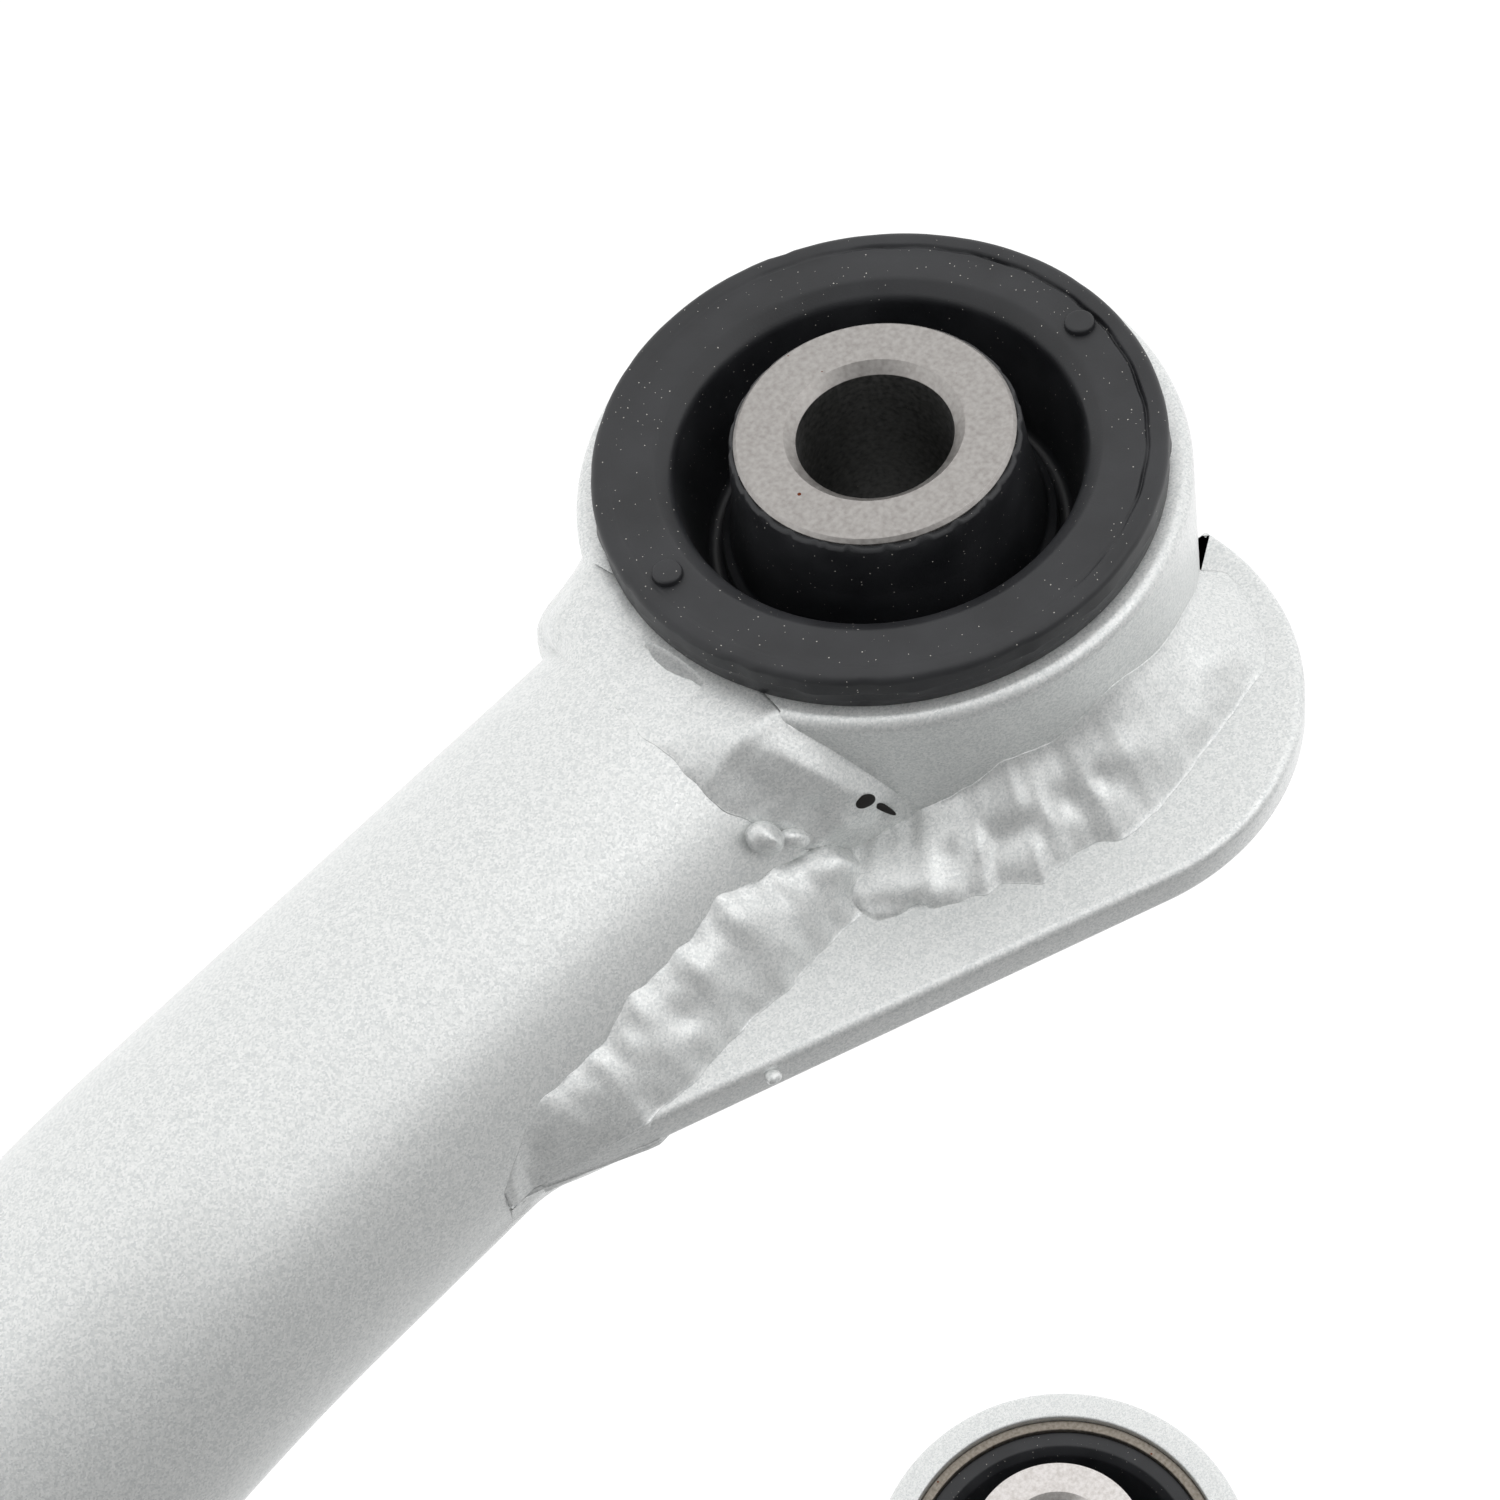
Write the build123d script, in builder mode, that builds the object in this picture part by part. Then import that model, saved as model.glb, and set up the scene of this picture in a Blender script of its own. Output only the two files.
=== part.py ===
"""Welded tubular control arm: a hoop of tube with two rubber pivot bushes and one ball joint.

Row frame, millimetres. The pivot axis lies along Y, with the origin half way between the bushes.
The arm reaches out along +X to the ball joint, whose stud points up along +Z.
"""

import math
import os

from build123d import *

os.makedirs("parts", exist_ok=True)

# ---- driving dimensions ----------------------------------------------------------------
BUSH_SPACING = 254.0  # centre to centre, along the pivot axis
ARM_LENGTH = 232.0  # pivot axis to ball centre
TUBE_OD = 34.9
TUBE_WALL = 3.5
BEND_RADIUS = 110.0  # of the tube's centreline

EYE_OD = 56.0
EYE_WALL = 4.25
EYE_LENGTH = 34.0
EYE_RIM_FILLET = 1.0
EYE_MOUTH_CHAMFER = 0.4

SHELL_WALL = 1.6
SHELL_FLANGE = 1.0  # thickness of the steel flange that stops on the eye's rim
SHELL_COVER = 0.8  # how far the rubber wraps past the steel flange's edge
SHELL_SETBACK = 1.0  # how far the plain end stops inside the eye
BOLT_BORE = 14.2
SLEEVE_OD = 25.4
SLEEVE_OUTER = 6.1  # how far the inner sleeve stands out of the eye on the flanged end
SLEEVE_INNER = 8.7  # and on the plain end
BORE_CHAMFER = 0.95
SLEEVE_EDGE_CHAMFER = 0.3
FLANGE_STEP = 2.0  # how far the rubber flange's edge stops inside the eye's
FLANGE_HEIGHT = 3.7  # top of the rubber flange over the eye's rim
FLANGE_LIP = 1.2  # rounding of its outer edge
SHEATH = 0.45  # rubber film on the sleeve, at its ends
SHEATH_STOP = 0.5  # how far the film stops below the sleeve's end
CONE_RADIUS = 14.7  # foot of the rubber cone round the sleeve
RECESS_RADIUS = 19.0  # mouth of the ring-shaped recess round the inner sleeve
RECESS_OUTER_DEPTH = 9.0  # below the eye's rim
RECESS_INNER_DEPTH = 11.0
PIP_RADIUS = 1.35
PIP_HEIGHT = 0.6
PIP_ROOT = 1.0  # how deep in the flange a pip starts
FLANGE_DISH = 0.2  # how far the flange's face lies below its lip
PIP_CIRCLE = 22.5
PIP_ANGLE = -13.0

PLATE_THICKNESS = 4.0
EYE_PLATE_SEAT = 0.5  # the outer face of an eye gusset, out from the bush's middle
EYE_PLATE_STEP = 4.6  # how much smaller the gusset's round end is than the eye
EYE_PLATE_RISE = 14.4  # how far the round end's furthest point stands past the eye's wall
EYE_PLATE_HEEL_PROUD = 1.37  # how far the heel's corner stands outside the eye
EYE_PLATE_REACH = 38.0  # how far along the tube an eye gusset reaches past the eye
PLATE_TIP_HEIGHT = 0.6
PLATE_EDGE_ROUND = 0.8
PLATE_HEEL_ROUND = 1.2  # corner where the round end meets the eye

WELD_LEG = 5.0
WELD_TOE = 6.5  # how far the eye weld runs along the tube past the eye
CUP_WELD_LEDGE = 2.2  # how far the cup's bead laps over its rim
WELD_CROWN = 0.8  # how far the eye weld may stand past the eye's rim

APEX_PLATE_NEAR = 75.0  # angle round the cup, from the arm's middle line, to an apex gusset's corner
APEX_PLATE_TRIM = 5.0  # how far its other corner stops short of the tangent point on the bend

CUP_WALL = 6.0
CUP_HEIGHT = 26.0
CUP_FILLET = 1.2
HOUSING_OD = 45.0
HOUSING_SHOULDER = 3.5  # radial width of the press-in shoulder
SHOULDER_HEIGHT = 4.0
HOUSING_TOP = 20.0
HOUSING_BOTTOM = -22.0

BALL_DIAMETER = 25.0
BALL_FLAT = 0.86  # height of the ball's flat, as a share of its radius
SEAT_WALL = 2.8
SEAT_EDGE_ANGLE = 62.0  # from the stud's axis to the seat's edge
NECK_DIAMETER = 14.0
STUD_TILT = 26.0  # the cone that the housing's mouth leaves for the stud
BOOT_LAND_DIAMETER = 18.0
BOOT_LAND = (30.0, 35.0)  # heights of the plain land that the boot grips
TAPER_SMALL_DIAMETER = 15.5
TAPER_LENGTH = 20.0
THREAD_DIAMETER = 12.0
THREAD_LENGTH = 19.0
NUT_FLATS = 19.0
NUT_HEIGHT = 13.0
NUT_SLOT_DEPTH = 4.5
NUT_SLOT_WIDTH = 3.4
PIN_DIAMETER = 2.6

COVER_THICKNESS = 2.5
SPRING_THICKNESS = 0.8
SNAP_RING_THICKNESS = 1.8
SNAP_RING_PROUD = 2.6  # how far the ring stands out of the housing's barrel
SNAP_RING_GAP = (10.0, 9.0)  # cutter for the gap between its ends
GROOVE_DEPTH = 1.2  # of the housing's ring groove and boot groove
NIPPLE_HEX = 7.0
NIPPLE_LENGTH = 6.0

RUNNING = 0.05  # radial clearance of a fit that turns
PRESS = 0.0  # pieces pressed together meet face to face

# ---- sizes that follow from them -------------------------------------------------------
HALF_SPACING = BUSH_SPACING / 2
TUBE_RADIUS = TUBE_OD / 2
EYE_RADIUS = EYE_OD / 2
EYE_HALF = EYE_LENGTH / 2
EYE_PLATE_TIP = EYE_RADIUS + EYE_PLATE_REACH
EYE_PLATE_END_RADIUS = EYE_RADIUS - EYE_PLATE_STEP
EYE_PLATE_END_Z = EYE_RADIUS + EYE_PLATE_RISE - EYE_PLATE_END_RADIUS
EYE_PLATE_END_X = EYE_PLATE_END_RADIUS - math.sqrt(
    (EYE_RADIUS + EYE_PLATE_HEEL_PROUD) ** 2 - EYE_PLATE_END_Z**2
)
SHELL_RADIUS = EYE_RADIUS - EYE_WALL - PRESS
RUBBER_RADIUS = SHELL_RADIUS - SHELL_WALL
SLEEVE_RADIUS = SLEEVE_OD / 2
SLEEVE_TOP = EYE_HALF + SLEEVE_OUTER
SLEEVE_BOTTOM = -EYE_HALF - SLEEVE_INNER
FLANGE_RADIUS = EYE_RADIUS - FLANGE_STEP
FLANGE_TOP = EYE_HALF + FLANGE_HEIGHT
SHELL_FLANGE_RADIUS = FLANGE_RADIUS - SHELL_COVER
SHELL_FLANGE_TOP = EYE_HALF + SHELL_FLANGE

HOUSING_RADIUS = HOUSING_OD / 2
CUP_RADIUS = HOUSING_RADIUS + CUP_WALL
CUP_HALF = CUP_HEIGHT / 2
HOOP_REACH = ARM_LENGTH - CUP_RADIUS - TUBE_RADIUS + 9.0  # the cup bites 9 mm into the hoop's crown

BALL_RADIUS = BALL_DIAMETER / 2
SEAT_INNER = BALL_RADIUS + RUNNING
CAVITY_RADIUS = SEAT_INNER + SEAT_WALL
NECK_RADIUS = NECK_DIAMETER / 2
LAND_RADIUS = BOOT_LAND_DIAMETER / 2
TAPER_TOP = BOOT_LAND[1] + TAPER_LENGTH
STUD_TOP = TAPER_TOP + THREAD_LENGTH

SIDES = {"front": -1, "rear": 1}


def save(part, name):
    """Labels a finished piece and writes it as parts/NAME.step."""
    part.label = name
    export_step(part, f"parts/{name}.step")


def bush_plane(side):
    """Half-section plane of one bush: x is the radius, y runs out along the pivot axis."""
    return Plane(origin=(0, side * HALF_SPACING, 0), x_dir=(1, 0, 0), z_dir=(0, 0, side))


def eye_plane(side):
    """Plane square to the pivot axis at a bush's middle: x is row X, y is row Z."""
    return Plane(origin=(0, side * HALF_SPACING, 0), x_dir=(1, 0, 0), z_dir=(0, -1, 0))


def stud_plane():
    """Half-section plane of the ball joint: x is the radius, y is the height over the ball's centre."""
    return Plane(origin=(ARM_LENGTH, 0, 0), x_dir=(1, 0, 0), z_dir=(0, -1, 0))


STUD_AXIS = Axis((ARM_LENGTH, 0, 0), (0, 0, 1))


def mouth_radius(height):
    """Radius that the leaning neck sweeps at a height over the ball's centre, plus some room."""
    lean = math.radians(STUD_TILT)
    return height * math.tan(lean) + NECK_RADIUS / math.cos(lean) + 0.5


# ---- the hoop of tube ------------------------------------------------------------------
with BuildLine() as hoop_line:
    FilletPolyline(
        (0, HALF_SPACING),
        (HOOP_REACH, HALF_SPACING),
        (HOOP_REACH, -HALF_SPACING),
        (0, -HALF_SPACING),
        radius=BEND_RADIUS,
    )
hoop_end = Plane(origin=(0, HALF_SPACING, 0), z_dir=(1, 0, 0))

with BuildPart() as solid_hoop:
    # the hoop without its bore, for cutting what lies against it
    with BuildSketch(hoop_end):
        Circle(TUBE_RADIUS)
    sweep(path=hoop_line.line)

with BuildPart() as arm_tube:
    with BuildSketch(hoop_end):
        Circle(TUBE_RADIUS)
        Circle(TUBE_RADIUS - TUBE_WALL, mode=Mode.SUBTRACT)
    sweep(path=hoop_line.line)
    # both ends are coped to the eyes, and the crown is coped to the cup
    with Locations((0, HALF_SPACING, 0), (0, -HALF_SPACING, 0)):
        Cylinder(EYE_RADIUS, 2 * TUBE_OD, rotation=(90, 0, 0), mode=Mode.SUBTRACT)
    with Locations((ARM_LENGTH, 0, 0)):
        Cylinder(CUP_RADIUS, 2 * TUBE_OD, mode=Mode.SUBTRACT)
save(arm_tube.part, "arm_tube")


# ---- the two pivot ends ----------------------------------------------------------------
def make_eye(side, name):
    """The steel ring that the bush is pressed into."""
    with BuildPart() as eye:
        with BuildSketch(eye_plane(side)):
            Circle(EYE_RADIUS)
            Circle(SHELL_RADIUS, mode=Mode.SUBTRACT)
        extrude(amount=EYE_HALF, both=True)
        mouths = eye.edges().filter_by(GeomType.CIRCLE).sort_by(lambda edge: edge.radius)
        chamfer(mouths[:2], EYE_MOUTH_CHAMFER)
        rims = eye.edges().filter_by(GeomType.CIRCLE).sort_by(lambda edge: edge.radius)
        fillet(rims[-2:], EYE_RIM_FILLET)
    save(eye.part, f"{name}_eye")
    return eye.part


def make_bush(side, name):
    """One pivot bush: pressed steel shell, bonded rubber with its flange, and the inner sleeve."""
    with BuildPart() as shell:
        with BuildSketch(bush_plane(side)):
            with BuildLine():
                Polyline(
                    (RUBBER_RADIUS, SHELL_SETBACK - EYE_HALF),
                    (SHELL_RADIUS, SHELL_SETBACK - EYE_HALF),
                    (SHELL_RADIUS, EYE_HALF),
                    (SHELL_FLANGE_RADIUS, EYE_HALF),
                    (SHELL_FLANGE_RADIUS, SHELL_FLANGE_TOP),
                    (RUBBER_RADIUS, SHELL_FLANGE_TOP),
                    close=True,
                )
            make_face()
        revolve(axis=Axis.Y)
    save(shell.part, f"{name}_bush_shell")

    grip = SLEEVE_RADIUS + RUNNING
    film = grip + SHEATH
    floor_radius = CONE_RADIUS + 2.2
    floor_middle = (CONE_RADIUS + floor_radius) / 2
    outer_floor = EYE_HALF - RECESS_OUTER_DEPTH
    inner_floor = RECESS_INNER_DEPTH - EYE_HALF
    plain_end = SHELL_SETBACK - EYE_HALF + 0.7
    lip_corner = FLANGE_LIP * (1 - math.sqrt(0.5))
    with BuildPart() as rubber:
        with BuildSketch(bush_plane(side)):
            with BuildLine():
                # flanged end: film and cone on the sleeve, then the recess and its rounded mouth
                Polyline(
                    (grip, SLEEVE_TOP - SHEATH_STOP),
                    (film, SLEEVE_TOP - SHEATH_STOP - SHEATH),
                    (film + 0.4, FLANGE_TOP - 4.0),
                    (CONE_RADIUS, outer_floor + 1.5),
                )
                ThreePointArc(
                    (CONE_RADIUS, outer_floor + 1.5),
                    (floor_middle, outer_floor),
                    (floor_radius, outer_floor + 1.5),
                )
                Line((floor_radius, outer_floor + 1.5), (RECESS_RADIUS - 0.3, FLANGE_TOP - 1.6))
                ThreePointArc(
                    (RECESS_RADIUS - 0.3, FLANGE_TOP - 1.6),
                    (RECESS_RADIUS + 0.2, FLANGE_TOP - 0.55),
                    (RECESS_RADIUS + 1.2, FLANGE_TOP - FLANGE_DISH),
                )
                # annulus, parting groove and lip
                Polyline(
                    (RECESS_RADIUS + 1.2, FLANGE_TOP - FLANGE_DISH),
                    (FLANGE_RADIUS - 2.0, FLANGE_TOP - FLANGE_DISH),
                    (FLANGE_RADIUS - 1.85, FLANGE_TOP - 0.4),
                    (FLANGE_RADIUS - 1.7, FLANGE_TOP),
                    (FLANGE_RADIUS - FLANGE_LIP, FLANGE_TOP),
                )
                ThreePointArc(
                    (FLANGE_RADIUS - FLANGE_LIP, FLANGE_TOP),
                    (FLANGE_RADIUS - lip_corner, FLANGE_TOP - lip_corner),
                    (FLANGE_RADIUS, FLANGE_TOP - FLANGE_LIP),
                )
                # down round the steel flange and the shell's bore to the plain end and its recess
                Polyline(
                    (FLANGE_RADIUS, FLANGE_TOP - FLANGE_LIP),
                    (FLANGE_RADIUS, EYE_HALF),
                    (SHELL_FLANGE_RADIUS, EYE_HALF),
                    (SHELL_FLANGE_RADIUS, SHELL_FLANGE_TOP),
                    (RUBBER_RADIUS, SHELL_FLANGE_TOP),
                    (RUBBER_RADIUS, plain_end),
                    (RECESS_RADIUS + 0.9, plain_end),
                    (RECESS_RADIUS - 0.2, plain_end + 1.2),
                    (floor_radius, inner_floor - 1.5),
                )
                ThreePointArc(
                    (floor_radius, inner_floor - 1.5),
                    (floor_middle, inner_floor),
                    (CONE_RADIUS, inner_floor - 1.5),
                )
                Polyline(
                    (CONE_RADIUS, inner_floor - 1.5),
                    (film + 0.4, plain_end),
                    (film, SLEEVE_BOTTOM + SHEATH_STOP + SHEATH + 2.0),
                    (grip, SLEEVE_BOTTOM + SHEATH_STOP + 2.0),
                    (grip, SLEEVE_TOP - SHEATH_STOP),
                )
            make_face()
        revolve(axis=Axis.Y)
        # two moulded pips on the flange, opposite each other
        pip_face = Plane(
            origin=(0, side * (HALF_SPACING + FLANGE_TOP - PIP_ROOT), 0),
            x_dir=(1, 0, 0),
            z_dir=(0, side, 0),
        )
        with BuildSketch(pip_face):
            with PolarLocations(PIP_CIRCLE, 2, start_angle=-side * PIP_ANGLE):
                Circle(PIP_RADIUS)
        extrude(amount=PIP_ROOT - FLANGE_DISH + PIP_HEIGHT)
    save(rubber.part, f"{name}_bush_rubber")

    with BuildPart() as sleeve:
        length = SLEEVE_TOP - SLEEVE_BOTTOM
        corner = (Align.MIN, Align.CENTER)
        with BuildSketch(bush_plane(side)):
            with Locations((0, (SLEEVE_TOP + SLEEVE_BOTTOM) / 2)):
                Rectangle(SLEEVE_RADIUS, length, align=corner)
                Rectangle(BOLT_BORE / 2, length, align=corner, mode=Mode.SUBTRACT)
        revolve(axis=Axis.Y)
        rounds = sleeve.edges().filter_by(GeomType.CIRCLE).sort_by(lambda edge: edge.radius)
        chamfer(rounds[:2], BORE_CHAMFER)
        rounds = sleeve.edges().filter_by(GeomType.CIRCLE).sort_by(lambda edge: edge.radius)
        chamfer(rounds[-2:], SLEEVE_EDGE_CHAMFER)
    save(sleeve.part, f"{name}_inner_sleeve")


def gusset_outline():
    """Sketch of an eye gusset: a round end over the eye, drawn out to a tip along the tube."""
    tip_z = TUBE_RADIUS + PLATE_TIP_HEIGHT
    reach = math.hypot(EYE_PLATE_TIP - EYE_PLATE_END_X, tip_z - EYE_PLATE_END_Z)
    bearing = math.atan2(tip_z - EYE_PLATE_END_Z, EYE_PLATE_TIP - EYE_PLATE_END_X)
    tangent = bearing + math.acos(EYE_PLATE_END_RADIUS / reach)
    touch = (
        EYE_PLATE_END_X + EYE_PLATE_END_RADIUS * math.cos(tangent),
        EYE_PLATE_END_Z + EYE_PLATE_END_RADIUS * math.sin(tangent),
    )
    crown_turn = math.radians(30)
    crown = (
        EYE_PLATE_END_X - EYE_PLATE_END_RADIUS * math.sin(crown_turn),
        EYE_PLATE_END_Z + EYE_PLATE_END_RADIUS * math.cos(crown_turn),
    )
    heel = (EYE_PLATE_END_X - EYE_PLATE_END_RADIUS, EYE_PLATE_END_Z)
    with BuildSketch() as outline:
        with BuildLine():
            ThreePointArc(heel, crown, touch)
            Polyline(touch, (EYE_PLATE_TIP, tip_z), (EYE_PLATE_TIP, 0), (0, 0), (0, EYE_PLATE_END_Z), heel)
        make_face()
        Circle(EYE_RADIUS, mode=Mode.SUBTRACT)
        Rectangle(2 * EYE_PLATE_TIP, TUBE_OD - 2 * WELD_LEG, mode=Mode.SUBTRACT)
    return outline.sketch


def make_gusset(side, name):
    """The flat plate that braces an eye to the tube, square to the pivot axis."""
    outer_face = eye_plane(side).offset(-side * EYE_PLATE_SEAT)
    with BuildPart() as gusset:
        with BuildSketch(outer_face):
            add(gusset_outline())
        extrude(amount=side * PLATE_THICKNESS)
        with Locations((0, side * HALF_SPACING, 0)):
            Cylinder(TUBE_RADIUS, 4 * EYE_OD, rotation=(0, 90, 0), mode=Mode.SUBTRACT)
        # the round end and the long straight edge are rounded, on both faces
        corner = gusset.edges().filter_by(Axis.Y).sort_by(Axis.X)[1]
        fillet(corner, PLATE_HEEL_ROUND)
        rim = [
            edge
            for edge in gusset.edges()
            if edge.length > PLATE_THICKNESS * 4
            and edge.center(CenterOf.BOUNDING_BOX).Z > TUBE_RADIUS + PLATE_TIP_HEIGHT
            and not (edge.geom_type == GeomType.CIRCLE and abs(edge.radius - EYE_RADIUS) < RUNNING)
        ]
        fillet(rim, PLATE_EDGE_ROUND)
    save(gusset.part, f"{name}_gusset")
    return gusset.part


def make_eye_weld(side, name, gusset):
    """The bead that closes the joint between the tube's coped end and the eye."""
    with BuildPart() as weld:
        toe = EYE_RADIUS + WELD_TOE
        heel = EYE_RADIUS / 3
        with BuildSketch(Plane(origin=(0, side * HALF_SPACING, 0), x_dir=(1, 0, 0), z_dir=(0, -1, 0))):
            with BuildLine():
                Polyline(
                    (heel, TUBE_RADIUS),
                    (toe, TUBE_RADIUS),
                    (heel, TUBE_RADIUS + (toe - heel) * 0.4),
                    close=True,
                )
            make_face()
        revolve(axis=Axis((0, side * HALF_SPACING, 0), (1, 0, 0)))
        with Locations((0, side * HALF_SPACING, 0)):
            Cylinder(EYE_RADIUS, 3 * EYE_LENGTH, rotation=(90, 0, 0), mode=Mode.SUBTRACT)
            Box(4 * EYE_OD, EYE_LENGTH + 2 * WELD_CROWN, 4 * EYE_OD, mode=Mode.INTERSECT)
        add(gusset, mode=Mode.SUBTRACT)
    save(weld.part, f"{name}_eye_weld")
    return weld.part


def make_gusset_welds(side, name, eye_weld):
    """Fillet beads on both faces of an eye gusset, round the eye and along the tube."""
    pivot = (0, side * HALF_SPACING, 0)
    outer = EYE_PLATE_SEAT
    inner = EYE_PLATE_SEAT - PLATE_THICKNESS
    with BuildPart() as welds:
        for face, away in ((outer, 1), (inner, -1)):
            with BuildSketch(bush_plane(side)):
                with BuildLine():
                    Polyline(
                        (EYE_RADIUS - 1, face),
                        (EYE_RADIUS + WELD_LEG, face),
                        (EYE_RADIUS - 1, face + away * (WELD_LEG + 1)),
                        close=True,
                    )
                make_face()
            revolve(axis=Axis.Y)
            start_face = Plane(
                origin=(0, side * HALF_SPACING, 0), x_dir=(0, side, 0), z_dir=(1, 0, 0)
            )
            with BuildSketch(start_face):
                with BuildLine():
                    Polyline(
                        (face, 0),
                        (face, side * (TUBE_RADIUS + WELD_LEG - 1)),
                        (face + away * (WELD_LEG + 2), side * (TUBE_RADIUS - 2)),
                        (face + away * (WELD_LEG + 2), 0),
                        close=True,
                    )
                make_face()
            extrude(amount=EYE_PLATE_TIP)
        with Locations(pivot):
            Cylinder(EYE_RADIUS, 3 * EYE_LENGTH, rotation=(90, 0, 0), mode=Mode.SUBTRACT)
            Cylinder(TUBE_RADIUS, 4 * EYE_OD, rotation=(0, 90, 0), mode=Mode.SUBTRACT)
        add(eye_weld, mode=Mode.SUBTRACT)
        with BuildSketch(eye_plane(side)):
            add(gusset_outline())
        extrude(amount=EYE_LENGTH, both=True, mode=Mode.INTERSECT)
    save(welds.part, f"{name}_gusset_welds")


for end, direction in SIDES.items():
    make_eye(direction, end)
    make_bush(direction, end)
    plate = make_gusset(direction, end)
    bead = make_eye_weld(direction, end, plate)
    make_gusset_welds(direction, end, bead)


# ---- the outer end: cup, gussets and welds ---------------------------------------------
with BuildPart() as ball_joint_cup:
    with Locations((ARM_LENGTH, 0, 0)):
        Cylinder(CUP_RADIUS, CUP_HEIGHT)
        Cylinder(HOUSING_RADIUS + PRESS, CUP_HEIGHT, mode=Mode.SUBTRACT)
    rims = ball_joint_cup.edges().filter_by(GeomType.CIRCLE).sort_by(lambda edge: edge.radius)
    fillet(rims[-2:], CUP_FILLET)
save(ball_joint_cup.part, "ball_joint_cup")


def apex_outline(side):
    """Sketch of a gusset that fills the corner between the hoop's outer bend and the cup."""
    bend_centre = (HOOP_REACH - BEND_RADIUS, side * (HALF_SPACING - BEND_RADIUS))
    outer_bend = BEND_RADIUS + TUBE_RADIUS
    near = math.radians(APEX_PLATE_NEAR)
    on_cup = (ARM_LENGTH + CUP_RADIUS * math.cos(near), side * CUP_RADIUS * math.sin(near))
    away = (on_cup[0] - bend_centre[0], side * (on_cup[1] - bend_centre[1]))
    bearing = math.atan2(away[1], away[0])
    far = bearing + math.acos(outer_bend / math.hypot(away[0], away[1])) - math.radians(APEX_PLATE_TRIM)
    on_tube = (
        bend_centre[0] + outer_bend * math.cos(far),
        bend_centre[1] + side * outer_bend * math.sin(far),
    )
    with BuildSketch() as outline:
        with BuildLine():
            Polyline(
                on_cup,
                on_tube,
                (HOOP_REACH, bend_centre[1] + side * outer_bend * math.sin(far) / 2),
                (HOOP_REACH, 0),
                (ARM_LENGTH, 0),
                close=True,
            )
        make_face()
        with Locations((ARM_LENGTH, 0)):
            Circle(CUP_RADIUS, mode=Mode.SUBTRACT)
    return outline.sketch


def make_apex_gusset(side, name):
    """One flat gusset beside the cup, in the plane of the hoop."""
    with BuildPart() as gusset:
        with BuildSketch():
            add(apex_outline(side))
        extrude(amount=PLATE_THICKNESS / 2, both=True)
        add(solid_hoop.part, mode=Mode.SUBTRACT)
    save(gusset.part, f"{name}_apex_gusset")
    return gusset.part


def make_apex_welds(side, name, cup_bead):
    """Fillet beads above and below an apex gusset, along the tube and round the cup."""
    bend_centre = (HOOP_REACH - BEND_RADIUS, side * (HALF_SPACING - BEND_RADIUS), 0)
    outer_bend = BEND_RADIUS + TUBE_RADIUS
    face = PLATE_THICKNESS / 2
    with BuildPart() as welds:
        for away in (1, -1):
            with BuildSketch(Plane(origin=bend_centre, x_dir=(1, 0, 0), z_dir=(0, -1, 0))):
                with BuildLine():
                    Polyline(
                        (outer_bend - 4, away * face),
                        (outer_bend + WELD_LEG - 1, away * face),
                        (outer_bend - 1, away * (face + WELD_LEG + 1)),
                        (outer_bend - 4, away * (face + WELD_LEG + 1)),
                        close=True,
                    )
                make_face()
            revolve(axis=Axis(bend_centre, (0, 0, 1)))
            with BuildSketch(stud_plane()):
                with BuildLine():
                    Polyline(
                        (CUP_RADIUS - 1, away * face),
                        (CUP_RADIUS + WELD_LEG, away * face),
                        (CUP_RADIUS - 1, away * (face + WELD_LEG + 1)),
                        close=True,
                    )
                make_face()
            revolve(axis=STUD_AXIS)
        with Locations((ARM_LENGTH, 0, 0)):
            Cylinder(CUP_RADIUS, 2 * CUP_HEIGHT, mode=Mode.SUBTRACT)
        add(solid_hoop.part, mode=Mode.SUBTRACT)
        add(cup_bead, mode=Mode.SUBTRACT)
        with BuildSketch():
            add(apex_outline(side))
        extrude(amount=CUP_HEIGHT, both=True, mode=Mode.INTERSECT)
    save(welds.part, f"{name}_apex_welds")


apex_gussets = {end: make_apex_gusset(direction, end) for end, direction in SIDES.items()}

with BuildPart() as cup_weld:
    # a saddle-shaped bead where the crown of the hoop is coped to the cup
    with Locations((HOOP_REACH, 0, 0)):
        Cylinder(TUBE_RADIUS + WELD_LEG - 1, 2 * CUP_RADIUS, rotation=(90, 0, 0))
    with Locations((ARM_LENGTH, 0, 0)):
        Cylinder(CUP_RADIUS + WELD_LEG, CUP_HEIGHT + 2 * CUP_WELD_LEDGE, mode=Mode.INTERSECT)
        Cylinder(CUP_RADIUS, CUP_HEIGHT, mode=Mode.SUBTRACT)
        Cylinder(CUP_RADIUS - CUP_WELD_LEDGE, 2 * CUP_HEIGHT, mode=Mode.SUBTRACT)
    add(solid_hoop.part, mode=Mode.SUBTRACT)
    for plate in apex_gussets.values():
        add(plate, mode=Mode.SUBTRACT)
save(cup_weld.part, "cup_weld")

for end, direction in SIDES.items():
    make_apex_welds(direction, end, cup_weld.part)


# ---- the ball joint --------------------------------------------------------------------
edge_angle = math.radians(SEAT_EDGE_ANGLE)
edge_height = SEAT_INNER * math.cos(edge_angle)
cavity_mouth = math.sqrt(CAVITY_RADIUS**2 - mouth_radius(edge_height + SEAT_WALL) ** 2)
ring_groove = CUP_HALF + SNAP_RING_THICKNESS
cover_seat = HOUSING_BOTTOM + 1.5

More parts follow.
